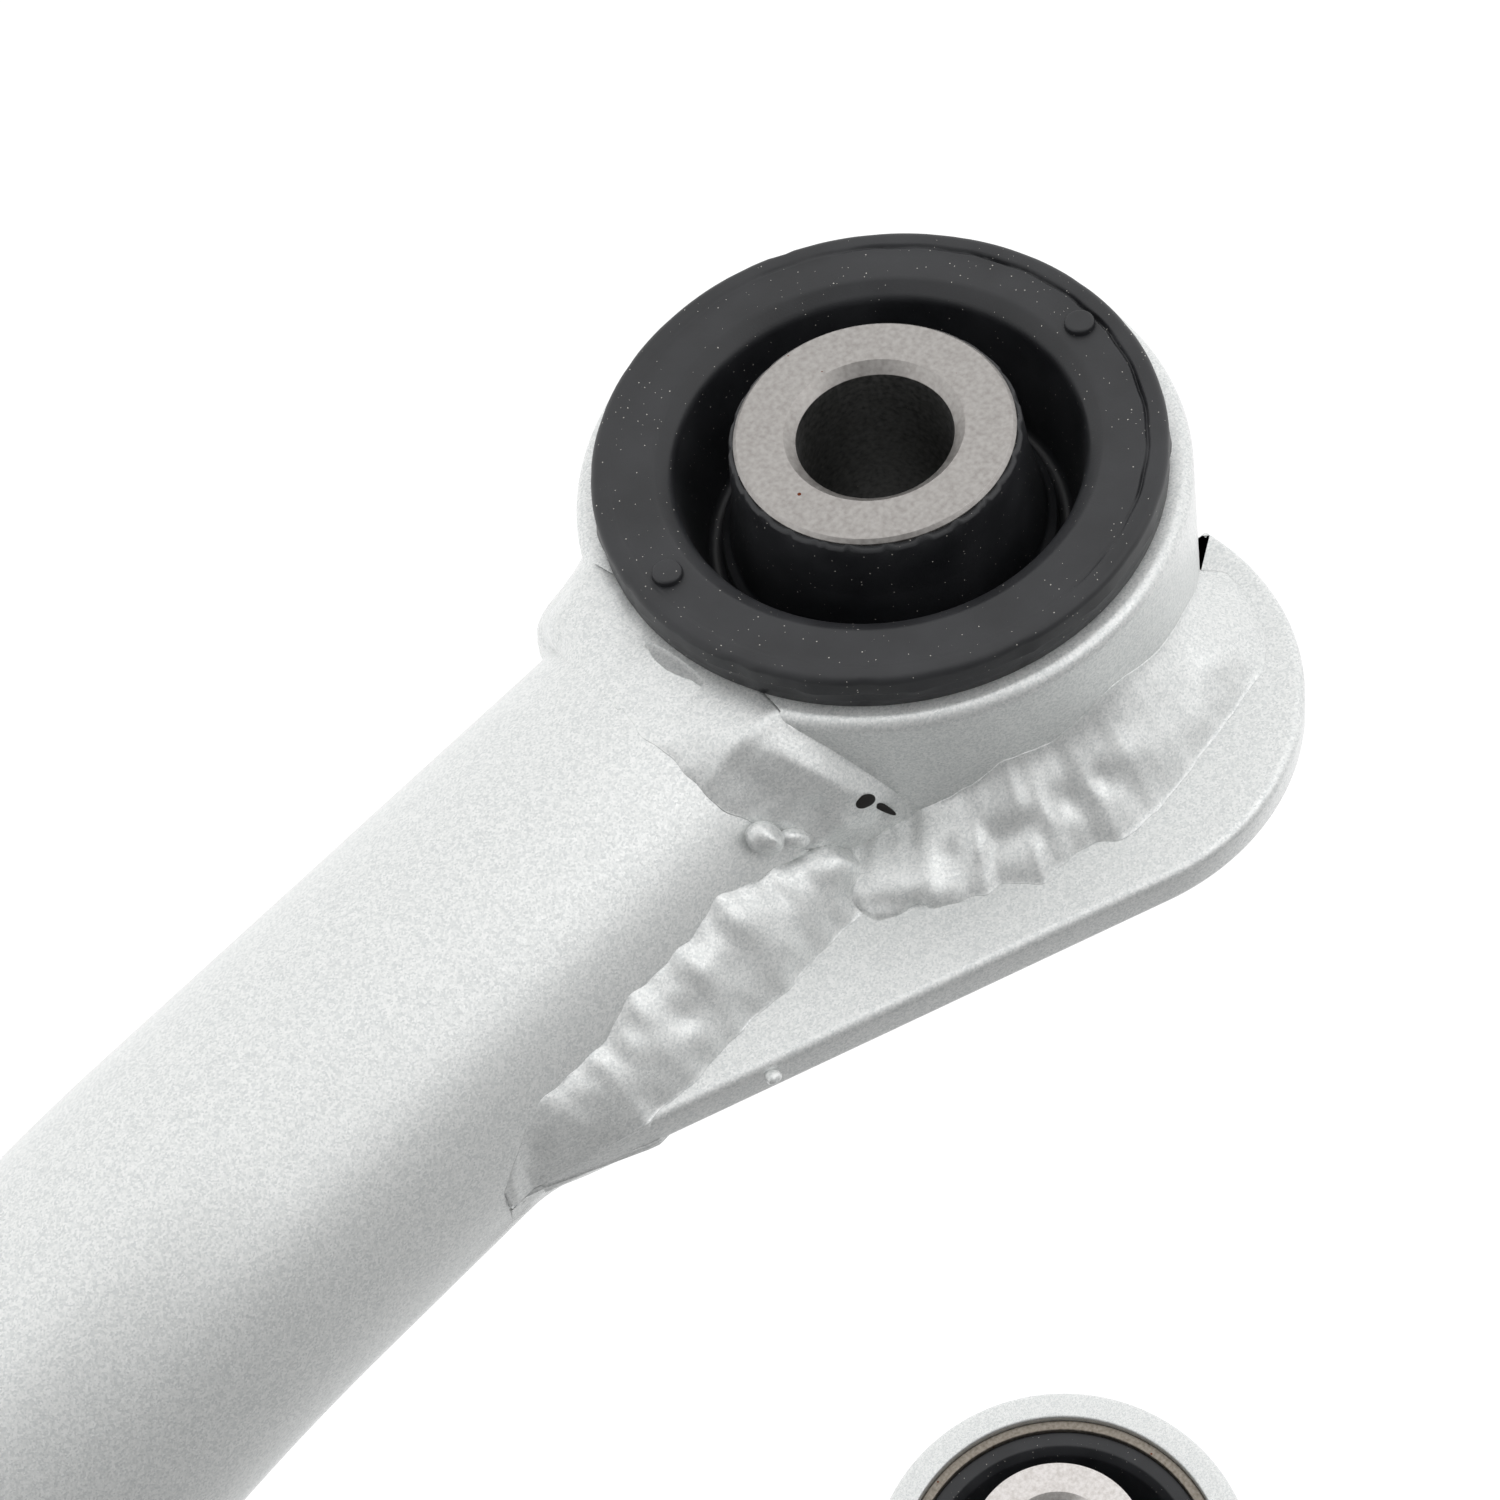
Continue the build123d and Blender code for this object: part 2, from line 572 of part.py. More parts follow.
with BuildPart() as ball_joint_housing:
    with BuildSketch(stud_plane()):
        with BuildLine():
            # outside: lower barrel, press-in shoulder, pressed barrel, ring groove, boot groove
            Polyline(
                (CAVITY_RADIUS, cover_seat),
                (CAVITY_RADIUS - 2.0, cover_seat),
                (CAVITY_RADIUS - 2.0, HOUSING_BOTTOM),
                (HOUSING_RADIUS - 1.0, HOUSING_BOTTOM),
                (HOUSING_RADIUS, HOUSING_BOTTOM + 1.0),
                (HOUSING_RADIUS, -CUP_HALF - SHOULDER_HEIGHT),
                (HOUSING_RADIUS + HOUSING_SHOULDER, -CUP_HALF - SHOULDER_HEIGHT),
                (HOUSING_RADIUS + HOUSING_SHOULDER, -CUP_HALF),
                (HOUSING_RADIUS, -CUP_HALF),
                (HOUSING_RADIUS, CUP_HALF),
                (HOUSING_RADIUS - GROOVE_DEPTH, CUP_HALF),
                (HOUSING_RADIUS - GROOVE_DEPTH, ring_groove),
                (HOUSING_RADIUS, ring_groove),
                (HOUSING_RADIUS, ring_groove + 0.9),
                (HOUSING_RADIUS - GROOVE_DEPTH, ring_groove + 0.9),
                (HOUSING_RADIUS - GROOVE_DEPTH, HOUSING_TOP - 1.2),
                (HOUSING_RADIUS, HOUSING_TOP - 1.2),
                (HOUSING_RADIUS, HOUSING_TOP - 0.5),
                (HOUSING_RADIUS - 0.5, HOUSING_TOP),
                (mouth_radius(HOUSING_TOP), HOUSING_TOP),
                (mouth_radius(edge_height + SEAT_WALL), cavity_mouth),
            )
            # inside: round top of the cavity, then its straight bore down to the cover
            cavity_lean = math.asin(mouth_radius(edge_height + SEAT_WALL) / CAVITY_RADIUS)
            middle = (cavity_lean + math.pi / 2) / 2
            ThreePointArc(
                (mouth_radius(edge_height + SEAT_WALL), cavity_mouth),
                (CAVITY_RADIUS * math.sin(middle), CAVITY_RADIUS * math.cos(middle)),
                (CAVITY_RADIUS, 0),
            )
            Line((CAVITY_RADIUS, 0), (CAVITY_RADIUS, cover_seat))
        make_face()
    revolve(axis=STUD_AXIS)
save(ball_joint_housing.part, "ball_joint_housing")

seat_bottom = -BALL_RADIUS * BALL_FLAT
with BuildPart() as bearing_seat:
    with BuildSketch(stud_plane()):
        with BuildLine():
            upper = (SEAT_INNER * math.sin(edge_angle), edge_height)
            seat_top = (mouth_radius(edge_height + SEAT_WALL), cavity_mouth)
            Line(upper, seat_top)
            ThreePointArc(
                seat_top,
                (CAVITY_RADIUS * math.sin(middle), CAVITY_RADIUS * math.cos(middle)),
                (CAVITY_RADIUS, 0),
            )
            lower = (math.sqrt(SEAT_INNER**2 - seat_bottom**2), seat_bottom)
            Polyline(
                (CAVITY_RADIUS, 0),
                (CAVITY_RADIUS, seat_bottom - SEAT_WALL),
                (lower[0], seat_bottom - SEAT_WALL),
                lower,
            )
            ThreePointArc(lower, (SEAT_INNER, 0), upper)
        make_face()
    revolve(axis=STUD_AXIS)
save(bearing_seat.part, "bearing_seat")

with BuildPart() as ball_stud:
    with BuildSketch(stud_plane()):
        with BuildLine():
            flat = BALL_RADIUS * BALL_FLAT
            neck_height = math.sqrt(BALL_RADIUS**2 - NECK_RADIUS**2)
            Polyline((0, -flat), (math.sqrt(BALL_RADIUS**2 - flat**2), -flat))
            ThreePointArc(
                (math.sqrt(BALL_RADIUS**2 - flat**2), -flat), (BALL_RADIUS, 0), (NECK_RADIUS, neck_height)
            )
            Polyline(
                (NECK_RADIUS, neck_height),
                (NECK_RADIUS, BOOT_LAND[0] - 4.0),
                (LAND_RADIUS, BOOT_LAND[0]),
                (LAND_RADIUS, BOOT_LAND[1]),
                (TAPER_SMALL_DIAMETER / 2, TAPER_TOP),
                (THREAD_DIAMETER / 2, TAPER_TOP),
                (THREAD_DIAMETER / 2, STUD_TOP - 1.0),
                (THREAD_DIAMETER / 2 - 1.0, STUD_TOP),
                (0, STUD_TOP),
                (0, -flat),
            )
        make_face()
    revolve(axis=STUD_AXIS)
    with Locations((ARM_LENGTH, 0, TAPER_TOP + NUT_HEIGHT - NUT_SLOT_DEPTH / 2)):
        Cylinder(PIN_DIAMETER / 2 + 0.2, TUBE_OD, rotation=(90, 0, 0), mode=Mode.SUBTRACT)
save(ball_stud.part, "ball_stud")

with BuildPart() as castle_nut:
    with BuildSketch(Plane(origin=(ARM_LENGTH, 0, TAPER_TOP + 0.6))):
        RegularPolygon(NUT_FLATS / 2, 6, major_radius=False)
        Circle(THREAD_DIAMETER / 2, mode=Mode.SUBTRACT)
    extrude(amount=NUT_HEIGHT - 0.6 - NUT_SLOT_DEPTH)
    with BuildSketch(Plane(origin=(ARM_LENGTH, 0, TAPER_TOP + NUT_HEIGHT - NUT_SLOT_DEPTH))):
        Circle(NUT_FLATS / 2 - 0.6)
        Circle(THREAD_DIAMETER / 2, mode=Mode.SUBTRACT)
        with PolarLocations(NUT_FLATS / 2, 6, start_angle=30):
            Rectangle(NUT_FLATS / 2, NUT_SLOT_WIDTH, mode=Mode.SUBTRACT)
    extrude(amount=NUT_SLOT_DEPTH)
save(castle_nut.part, "castle_nut")

pin_height = TAPER_TOP + NUT_HEIGHT - NUT_SLOT_DEPTH / 2
pin_reach = NUT_FLATS / 2 + PIN_DIAMETER + 0.2
with BuildPart() as cotter_pin:
    with BuildSketch(Plane(origin=(ARM_LENGTH, -pin_reach, pin_height), z_dir=(0, 1, 0))):
        Circle(PIN_DIAMETER / 2)
    extrude(amount=2 * pin_reach)
    with Locations((ARM_LENGTH, -pin_reach - PIN_DIAMETER, pin_height)):
        Torus(PIN_DIAMETER, PIN_DIAMETER / 3)
    with BuildSketch(Plane(origin=(ARM_LENGTH, pin_reach - PIN_DIAMETER / 2, pin_height - 1.0))):
        Circle(PIN_DIAMETER / 2)
    extrude(amount=-6.0)
save(cotter_pin.part, "cotter_pin")

with BuildPart() as cover_plate:
    with BuildSketch(Plane(origin=(ARM_LENGTH, 0, cover_seat))):
        Circle(CAVITY_RADIUS)
        Circle(NIPPLE_HEX / 4 + RUNNING, mode=Mode.SUBTRACT)
    extrude(amount=COVER_THICKNESS)
save(cover_plate.part, "cover_plate")

spring_base = cover_seat + COVER_THICKNESS
seat_foot = seat_bottom - SEAT_WALL
with BuildPart() as preload_spring:
    # a disc spring: a shallow cone between the cover and the bearing seat
    with BuildSketch(stud_plane()):
        with BuildLine():
            Polyline(
                (CAVITY_RADIUS - 0.6, spring_base),
                (CAVITY_RADIUS - 0.6, spring_base + SPRING_THICKNESS),
                (CAVITY_RADIUS - 6.0, seat_foot),
                (CAVITY_RADIUS - 6.0, seat_foot - SPRING_THICKNESS),
                close=True,
            )
        make_face()
    revolve(axis=STUD_AXIS)
save(preload_spring.part, "preload_spring")

with BuildPart() as grease_nipple:
    shank = NIPPLE_HEX / 4
    with BuildSketch(Plane(origin=(ARM_LENGTH, 0, cover_seat + COVER_THICKNESS))):
        Circle(shank)
    extrude(amount=-COVER_THICKNESS)
    with BuildSketch(Plane(origin=(ARM_LENGTH, 0, cover_seat))):
        RegularPolygon(NIPPLE_HEX / 2, 6, major_radius=False)
    extrude(amount=-NIPPLE_LENGTH / 2)
    with BuildSketch(Plane(origin=(ARM_LENGTH, 0, cover_seat - NIPPLE_LENGTH / 2))):
        Circle(NIPPLE_HEX / 2 - 1.2)
    extrude(amount=-NIPPLE_LENGTH / 2, taper=12)
    Hole(0.7)
save(grease_nipple.part, "grease_nipple")

with BuildPart() as snap_ring:
    with BuildSketch(Plane(origin=(ARM_LENGTH, 0, CUP_HALF))):
        Circle(HOUSING_RADIUS + SNAP_RING_PROUD)
        Circle(HOUSING_RADIUS - GROOVE_DEPTH, mode=Mode.SUBTRACT)
        with Locations((HOUSING_RADIUS, 0)):
            Rectangle(*SNAP_RING_GAP, mode=Mode.SUBTRACT)
    extrude(amount=SNAP_RING_THICKNESS)
save(snap_ring.part, "snap_ring")

boot_foot = ring_groove + 1.0
boot_bead = HOUSING_TOP - 1.3
with BuildPart() as dust_boot:
    with BuildSketch(stud_plane()):
        with BuildLine():
            # the big bead sits in the housing's groove, the small one grips the stud's land
            big = HOUSING_RADIUS - GROOVE_DEPTH
            Polyline(
                (big, boot_foot),
                (HOUSING_RADIUS + 1.6, boot_foot),
                (HOUSING_RADIUS + 1.6, boot_bead),
                (HOUSING_RADIUS + 0.8, boot_bead + 2.0),
                (HOUSING_RADIUS - 2.5, boot_bead + 6.5),
                (LAND_RADIUS + 5.0, BOOT_LAND[0] - 2.0),
                (LAND_RADIUS + 2.4, BOOT_LAND[0]),
                (LAND_RADIUS + 2.4, BOOT_LAND[1] - 0.5),
                (LAND_RADIUS + RUNNING, BOOT_LAND[1] - 0.5),
                (LAND_RADIUS + RUNNING, BOOT_LAND[0]),
                (LAND_RADIUS + 3.0, BOOT_LAND[0] - 3.6),
                (HOUSING_RADIUS - 3.6, boot_bead + 5.0),
                (HOUSING_RADIUS - 1.0, boot_bead + 1.6),
                (HOUSING_RADIUS + 0.2, HOUSING_TOP),
                (HOUSING_RADIUS + 0.2, boot_bead),
                (big, boot_bead),
                close=True,
            )
        make_face()
    revolve(axis=STUD_AXIS)
save(dust_boot.part, "dust_boot")

with BuildPart() as boot_clamp_ring:
    with BuildSketch(Plane(origin=(ARM_LENGTH, 0, boot_foot + 0.4))):
        Circle(HOUSING_RADIUS + 2.6)
        Circle(HOUSING_RADIUS + 1.6, mode=Mode.SUBTRACT)
    extrude(amount=boot_bead - boot_foot - 0.8)
save(boot_clamp_ring.part, "boot_clamp_ring")

with BuildPart() as boot_neck_ring:
    with BuildSketch(Plane(origin=(ARM_LENGTH, 0, BOOT_LAND[0] + 1.2))):
        Circle(LAND_RADIUS + 3.5)
        Circle(LAND_RADIUS + 2.4 + RUNNING, mode=Mode.SUBTRACT)
    extrude(amount=2.0)
save(boot_neck_ring.part, "boot_neck_ring")

print("hoop reach", round(HOOP_REACH, 2), "stud top", STUD_TOP, "cavity mouth", round(cavity_mouth, 2))
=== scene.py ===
"""Looks of a welded tubular control arm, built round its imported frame.

The arm lies flat with its pivot axis along Y and its ball stud up along Z. Lengths are in metres
once they reach a mesh; the size fields of the classes are in millimetres, as on a drawing.
"""

import logging
import math
from dataclasses import dataclass, field
from enum import Enum
from typing import Optional, Sequence

import bpy
import numpy as np
from mathutils import Matrix, Vector


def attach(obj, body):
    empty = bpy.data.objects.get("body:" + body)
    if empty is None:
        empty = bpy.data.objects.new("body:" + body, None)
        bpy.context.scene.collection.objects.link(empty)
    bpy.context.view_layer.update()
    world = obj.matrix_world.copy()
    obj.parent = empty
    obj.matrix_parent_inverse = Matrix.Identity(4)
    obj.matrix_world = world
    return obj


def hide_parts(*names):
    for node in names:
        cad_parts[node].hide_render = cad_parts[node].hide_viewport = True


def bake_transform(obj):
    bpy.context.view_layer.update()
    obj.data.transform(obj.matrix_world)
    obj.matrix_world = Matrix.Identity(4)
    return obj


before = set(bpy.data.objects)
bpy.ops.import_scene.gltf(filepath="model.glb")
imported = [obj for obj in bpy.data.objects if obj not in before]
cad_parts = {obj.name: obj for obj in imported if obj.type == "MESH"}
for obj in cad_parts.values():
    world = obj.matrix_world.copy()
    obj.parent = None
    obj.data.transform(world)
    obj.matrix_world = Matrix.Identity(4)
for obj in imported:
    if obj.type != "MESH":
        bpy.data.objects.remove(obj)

MM = 0.001
TAU = 2 * math.pi
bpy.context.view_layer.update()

logging.basicConfig(level=logging.INFO, format="%(message)s")
log = logging.getLogger("control_arm")


# ---- colour and nodes ------------------------------------------------------------------
def linear(hex_colour: str) -> tuple[float, float, float, float]:
    """Turns an sRGB hex colour into linear light.

    Args:
        hex_colour: Six hex digits, with or without a leading #.

    Returns:
        Linear red, green and blue, and an alpha of 1.
    """
    digits = hex_colour.lstrip("#")
    channels = [int(digits[i : i + 2], 16) / 255 for i in (0, 2, 4)]
    light = [c / 12.92 if c <= 0.04045 else ((c + 0.055) / 1.055) ** 2.4 for c in channels]
    return (light[0], light[1], light[2], 1.0)


def grey(value: float) -> tuple[float, float, float, float]:
    """A grey of one linear value."""
    return (value, value, value, 1.0)


def per(millimetres: float) -> float:
    """The scale of a pattern whose features are so many millimetres across."""
    return 1 / (millimetres * MM)


def pattern(place: bpy.types.NodeSocket, millimetres: float, detail: float) -> dict[str, object]:
    """The inputs of a noise of one feature size and so many finer layers."""
    return {"Vector": place, "Scale": per(millimetres), "Detail": detail}


def add_node(
    tree: bpy.types.NodeTree,
    kind: str,
    inputs: Optional[dict] = None,
    stops: Sequence[tuple[float, tuple[float, float, float, float]]] = (),
    **settings: object,
) -> bpy.types.Node:
    """Adds one node with its settings, values and links.

    Args:
        tree: The node tree that gets the node.
        kind: The node's type, such as ShaderNodeBump.
        inputs: Socket name or number to a value, or to an output socket that it is linked from.
        stops: Positions and linear colours of a colour ramp, in rising order.
        **settings: Attributes of the node itself.

    Returns:
        The new node.
    """
    node = tree.nodes.new(kind)
    for key, value in settings.items():
        setattr(node, key, value)
    for key, value in (inputs or {}).items():
        if isinstance(value, bpy.types.NodeSocket):
            tree.links.new(value, node.inputs[key])
        else:
            node.inputs[key].default_value = value
    while stops and len(node.color_ramp.elements) < len(stops):
        node.color_ramp.elements.new(0.5)
    for index, (position, colour) in enumerate(stops):
        node.color_ramp.elements[index].position = position
        node.color_ramp.elements[index].color = colour
    return node


class Finish:
    """A surface finish that makes its Blender material once and hands out the same one after."""

    _made: dict[str, bpy.types.Material] = {}

    def material(self) -> bpy.types.Material:
        """The finish's material."""
        if self.title not in Finish._made:
            made = bpy.data.materials.new(self.title)
            made.use_nodes = True
            tree = made.node_tree
            tree.nodes.clear()
            place = add_node(tree, "ShaderNodeTexCoord").outputs["Object"]
            shader = self.shade(tree, place)
            add_node(tree, "ShaderNodeOutputMaterial", {"Surface": shader.outputs[0]})
            Finish._made[self.title] = made
        return Finish._made[self.title]


def flecked(
    tree: bpy.types.NodeTree,
    place: bpy.types.NodeSocket,
    guide: bpy.types.NodeSocket,
    shades: Sequence[tuple[float, str]],
    fleck: tuple[str, float, float],
    roughness: tuple[float, float],
    relief: tuple[bpy.types.NodeSocket, float],
    kind: dict[str, float],
) -> bpy.types.Node:
    """A surface of two shades that follow a guide pattern, with specks of a third colour.

    A speck is a disc in a Voronoi cell, its radius a random part of the share of the cell.

    Args:
        tree: The node tree.
        place: The coordinates.
        guide: The pattern that the shades and the roughness follow.
        shades: Positions and hex colours along the guide.
        fleck: The specks' hex colour, the size of their cells in millimetres, and the share.
        roughness: Roughness at the guide's low and high ends.
        relief: The bump's height and strength.
        kind: What sets the material apart, such as Metallic or IOR.

    Returns:
        The shader node.
    """
    fleck_colour, cell_mm, share = fleck
    cells = add_node(tree, "ShaderNodeTexVoronoi", {"Vector": place, "Scale": per(cell_mm)}).outputs
    chance = add_node(tree, "ShaderNodeSeparateColor", {0: cells["Color"]}).outputs[0]
    size = add_node(tree, "ShaderNodeMath", {0: chance, 1: share}, operation="MULTIPLY").outputs[0]
    reach = {0: cells["Distance"], 1: size}
    speck = add_node(tree, "ShaderNodeMath", reach, operation="LESS_THAN").outputs[0]
    stops = [(at, linear(shade)) for at, shade in shades]
    body = add_node(tree, "ShaderNodeValToRGB", {0: guide}, stops).outputs[0]
    colour = add_node(tree, "ShaderNodeMixRGB", {0: speck, 1: body, 2: linear(fleck_colour)})
    gloss = add_node(tree, "ShaderNodeMapRange", {0: guide, 3: roughness[0], 4: roughness[1]})
    height, strength = relief
    bump = add_node(tree, "ShaderNodeBump", {"Strength": strength, "Distance": 0.03 * MM, "Height": height})
    made = {"Base Color": colour.outputs[0], "Roughness": gloss.outputs[0], "Normal": bump.outputs[0], **kind}
    return add_node(tree, "ShaderNodeBsdfPrincipled", made)


@dataclass(frozen=True)
class SilverEnamel(Finish):
    """Silver stoving enamel sprayed over mild steel: aluminium flakes under a thin clear film.

    The flakes sparkle one by one, and the film keeps a faint orange peel.
    """

    # the flakes are drawn some five times coarser than real ones, so that they show
    title: str = "sprayed_silver_enamel"
    base: str = "#E0E2E1"
    shade_flake: str = "#D0D3D3"
    bright_flake: str = "#EDEEED"
    flake_mm: float = 0.17
    peel_mm: float = 2.6
    roughness: float = 0.46
    spread: float = 0.07
    metallic: float = 0.75
    coat: float = 0.7
    coat_roughness: float = 0.27

    def shade(self, tree: bpy.types.NodeTree, place: bpy.types.NodeSocket) -> bpy.types.Node:
        """Builds the enamel's shader."""
        flakes = add_node(tree, "ShaderNodeTexVoronoi", {"Vector": place, "Scale": per(self.flake_mm)})
        glint = add_node(tree, "ShaderNodeSeparateColor", {0: flakes.outputs["Color"]}).outputs
        stops = [(0.0, linear(self.shade_flake)), (0.5, linear(self.base)), (1.0, linear(self.bright_flake))]
        colour = add_node(tree, "ShaderNodeValToRGB", {0: glint[0]}, stops)
        peel = add_node(tree, "ShaderNodeTexNoise", pattern(place, self.peel_mm, 2.0)).outputs[0]
        low, high = self.roughness - self.spread, self.roughness + self.spread
        gloss = add_node(tree, "ShaderNodeMapRange", {0: glint[1], 3: low, 4: high})
        film = {"Strength": 0.35, "Distance": 0.04 * MM, "Height": peel}
        under = add_node(tree, "ShaderNodeBump", film).outputs[0]
        sparkle = {"Strength": 0.3, "Distance": 0.02 * MM, "Height": glint[2], "Normal": under}
        enamel = {
            "Base Color": colour.outputs[0],
            "Metallic": self.metallic,
            "Roughness": gloss.outputs[0],
            "Normal": add_node(tree, "ShaderNodeBump", sparkle).outputs[0],
            "Coat Weight": self.coat,
            "Coat Roughness": self.coat_roughness,
        }
        return add_node(tree, "ShaderNodeBsdfPrincipled", enamel)


@dataclass(frozen=True)
class MouldedRubber(Finish):
    """Carbon-filled rubber as it leaves the mould: near black and satin, with cloudy wear and pale dust."""

    title: str = "moulded_bush_rubber"
    colour: str = "#1B1C1F"
    dull: str = "#2B2C2F"
    dust: str = "#C9C5BE"
    roughness: float = 0.46
    cloud_mm: float = 6.0
    grain_mm: float = 0.22
    dust_mm: float = 0.55
    dust_share: float = 0.115

    def shade(self, tree: bpy.types.NodeTree, place: bpy.types.NodeSocket) -> bpy.types.Node:
        """Builds the rubber's shader."""
        cloud = add_node(tree, "ShaderNodeTexNoise", pattern(place, self.cloud_mm, 5.0)).outputs[0]
        grain = add_node(tree, "ShaderNodeTexNoise", pattern(place, self.grain_mm, 2.0)).outputs[0]
        return flecked(
            tree, place, cloud, [(0.35, self.colour), (0.7, self.dull)],
            (self.dust, self.dust_mm, self.dust_share), (self.roughness - 0.09, self.roughness + 0.12),
            (grain, 0.35), {"IOR": 1.52},
        )


@dataclass(frozen=True)
class WorkedSteel(Finish):
    """Bare steel, turned, pressed, plated or blued.

    A fine grain breaks up its shine, drawn coarser than real tool marks so that it shows, and odd specks
    of rust or grit lie on it.
    """

    title: str = "turned_mild_steel"
    colour: str = "#B2AFAC"
    low: str = "#9C9895"
    rust: str = "#6B3A28"
    roughness: float = 0.42
    grain_mm: float = 0.5
    rust_mm: float = 3.4
    rust_share: float = 0.075

    def shade(self, tree: bpy.types.NodeTree, place: bpy.types.NodeSocket) -> bpy.types.Node:
        """Builds the steel's shader."""
        grain = add_node(tree, "ShaderNodeTexNoise", pattern(place, self.grain_mm, 6.0)).outputs[0]
        return flecked(
            tree, place, grain, [(0.3, self.low), (0.65, self.colour)],
            (self.rust, self.rust_mm, self.rust_share), (self.roughness - 0.08, self.roughness + 0.12),
            (grain, 0.5), {"Metallic": 1.0},
        )


@dataclass(frozen=True)
class MouldedPlastic(Finish):
    """Moulded acetal of the bearing seat: pale, waxy and even."""

    title: str = "moulded_acetal"
    colour: str = "#E4E0D2"
    shade_colour: str = "#D8D3C3"
    cloud_mm: float = 4.0

    def shade(self, tree: bpy.types.NodeTree, place: bpy.types.NodeSocket) -> bpy.types.Node:
        """Builds the plastic's shader."""
        cloud = add_node(tree, "ShaderNodeTexNoise", pattern(place, self.cloud_mm, 3.0)).outputs[0]
        stops = [(0.3, linear(self.shade_colour)), (0.7, linear(self.colour))]
        colour = add_node(tree, "ShaderNodeValToRGB", {0: cloud}, stops).outputs[0]
        waxy = {"Base Color": colour, "Roughness": 0.35, "IOR": 1.48, "Subsurface Weight": 0.1}
        return add_node(tree, "ShaderNodeBsdfPrincipled", waxy)


# silver enamel, sprayed: a bright grey satin that sparkles and turns dark where it faces the dark side
ENAMEL = SilverEnamel()
# natural rubber, moulded and bonded: near black, satin, with pale dust
BUSH_RUBBER = MouldedRubber()
# chloroprene rubber, moulded: blacker and cleaner than the bushes
BOOT_RUBBER = MouldedRubber(title="moulded_boot_rubber", colour="#17171A", dull="#222225", dust_share=0.03)
# mild steel, turned: a warm grey, matt face with odd rust specks
TURNED = WorkedSteel()
# mild steel, faced last: brighter, because the tool marks are fresh
FACED = WorkedSteel(
    title="freshly_faced_steel", colour="#E2DEDC", low="#C9C4C0", roughness=0.36, rust_share=0.05
)
# mild steel, drilled: painted shade makes the bore darker than the faces; dull, with pale specks of grit
SHADED_BORE_STEEL = WorkedSteel(
    title="bore_steel_painted_shade", colour="#8C8C8B", low="#666665", rust="#B8B4AC", roughness=0.5, rust_mm=1.2,
    rust_share=0.09,
)
# sheet steel, pressed: a dull warm grey
PRESSED = WorkedSteel(
    title="pressed_steel_shell", colour="#A39C92", low="#7C746A", roughness=0.5, rust_mm=1.6, rust_share=0.12
)
# carbon steel, forged and phosphated: an even dark grey
FORGED = WorkedSteel(
    title="phosphated_forging", colour="#6E7070", low="#4C4E4F", roughness=0.46, rust_share=0.0
)
# alloy steel, ground: a clean grey that shines a little
GROUND = WorkedSteel(
    title="ground_stud_steel", colour="#A9A9A8", low="#8E8E8D", roughness=0.3, rust_share=0.02
)
# steel, zinc plated: bright with a faint yellow cast
ZINC = WorkedSteel(title="bright_zinc_plate", colour="#C9C6BB", low="#A9A596", roughness=0.27, rust_share=0.0)
# spring steel, blued: nearly black with a soft shine
SPRING = WorkedSteel(
    title="blued_spring_steel", colour="#3A3C42", low="#26272B", roughness=0.36, rust_share=0.0
)
# acetal, injection moulded: pale and waxy
ACETAL = MouldedPlastic()
# painted shade in a weld's pit and crack: black, matt pieces stand for the shade of hollows where no light
# gets out
PIT_SHADE = MouldedRubber(
    title="unpainted_weld_pit", colour="#0B0A09", dull="#1A1613", roughness=0.8, dust_share=0.0
)


# ---- shapes ----------------------------------------------------------------------------
class Cap(Enum):
    """How the two ends of a ring-shaped grid are closed."""

    FAN = "fan"
    FACE = "face"
    OPEN = "open"


def signed_volume(vertices: np.ndarray, quads: np.ndarray) -> float:
    """Six times the volume that quads enclose, positive where they face outwards."""
    a, b, c, d = (vertices[quads[:, k]] for k in range(4))
    return float((a * np.cross(b, c)).sum() + (a * np.cross(c, d)).sum())


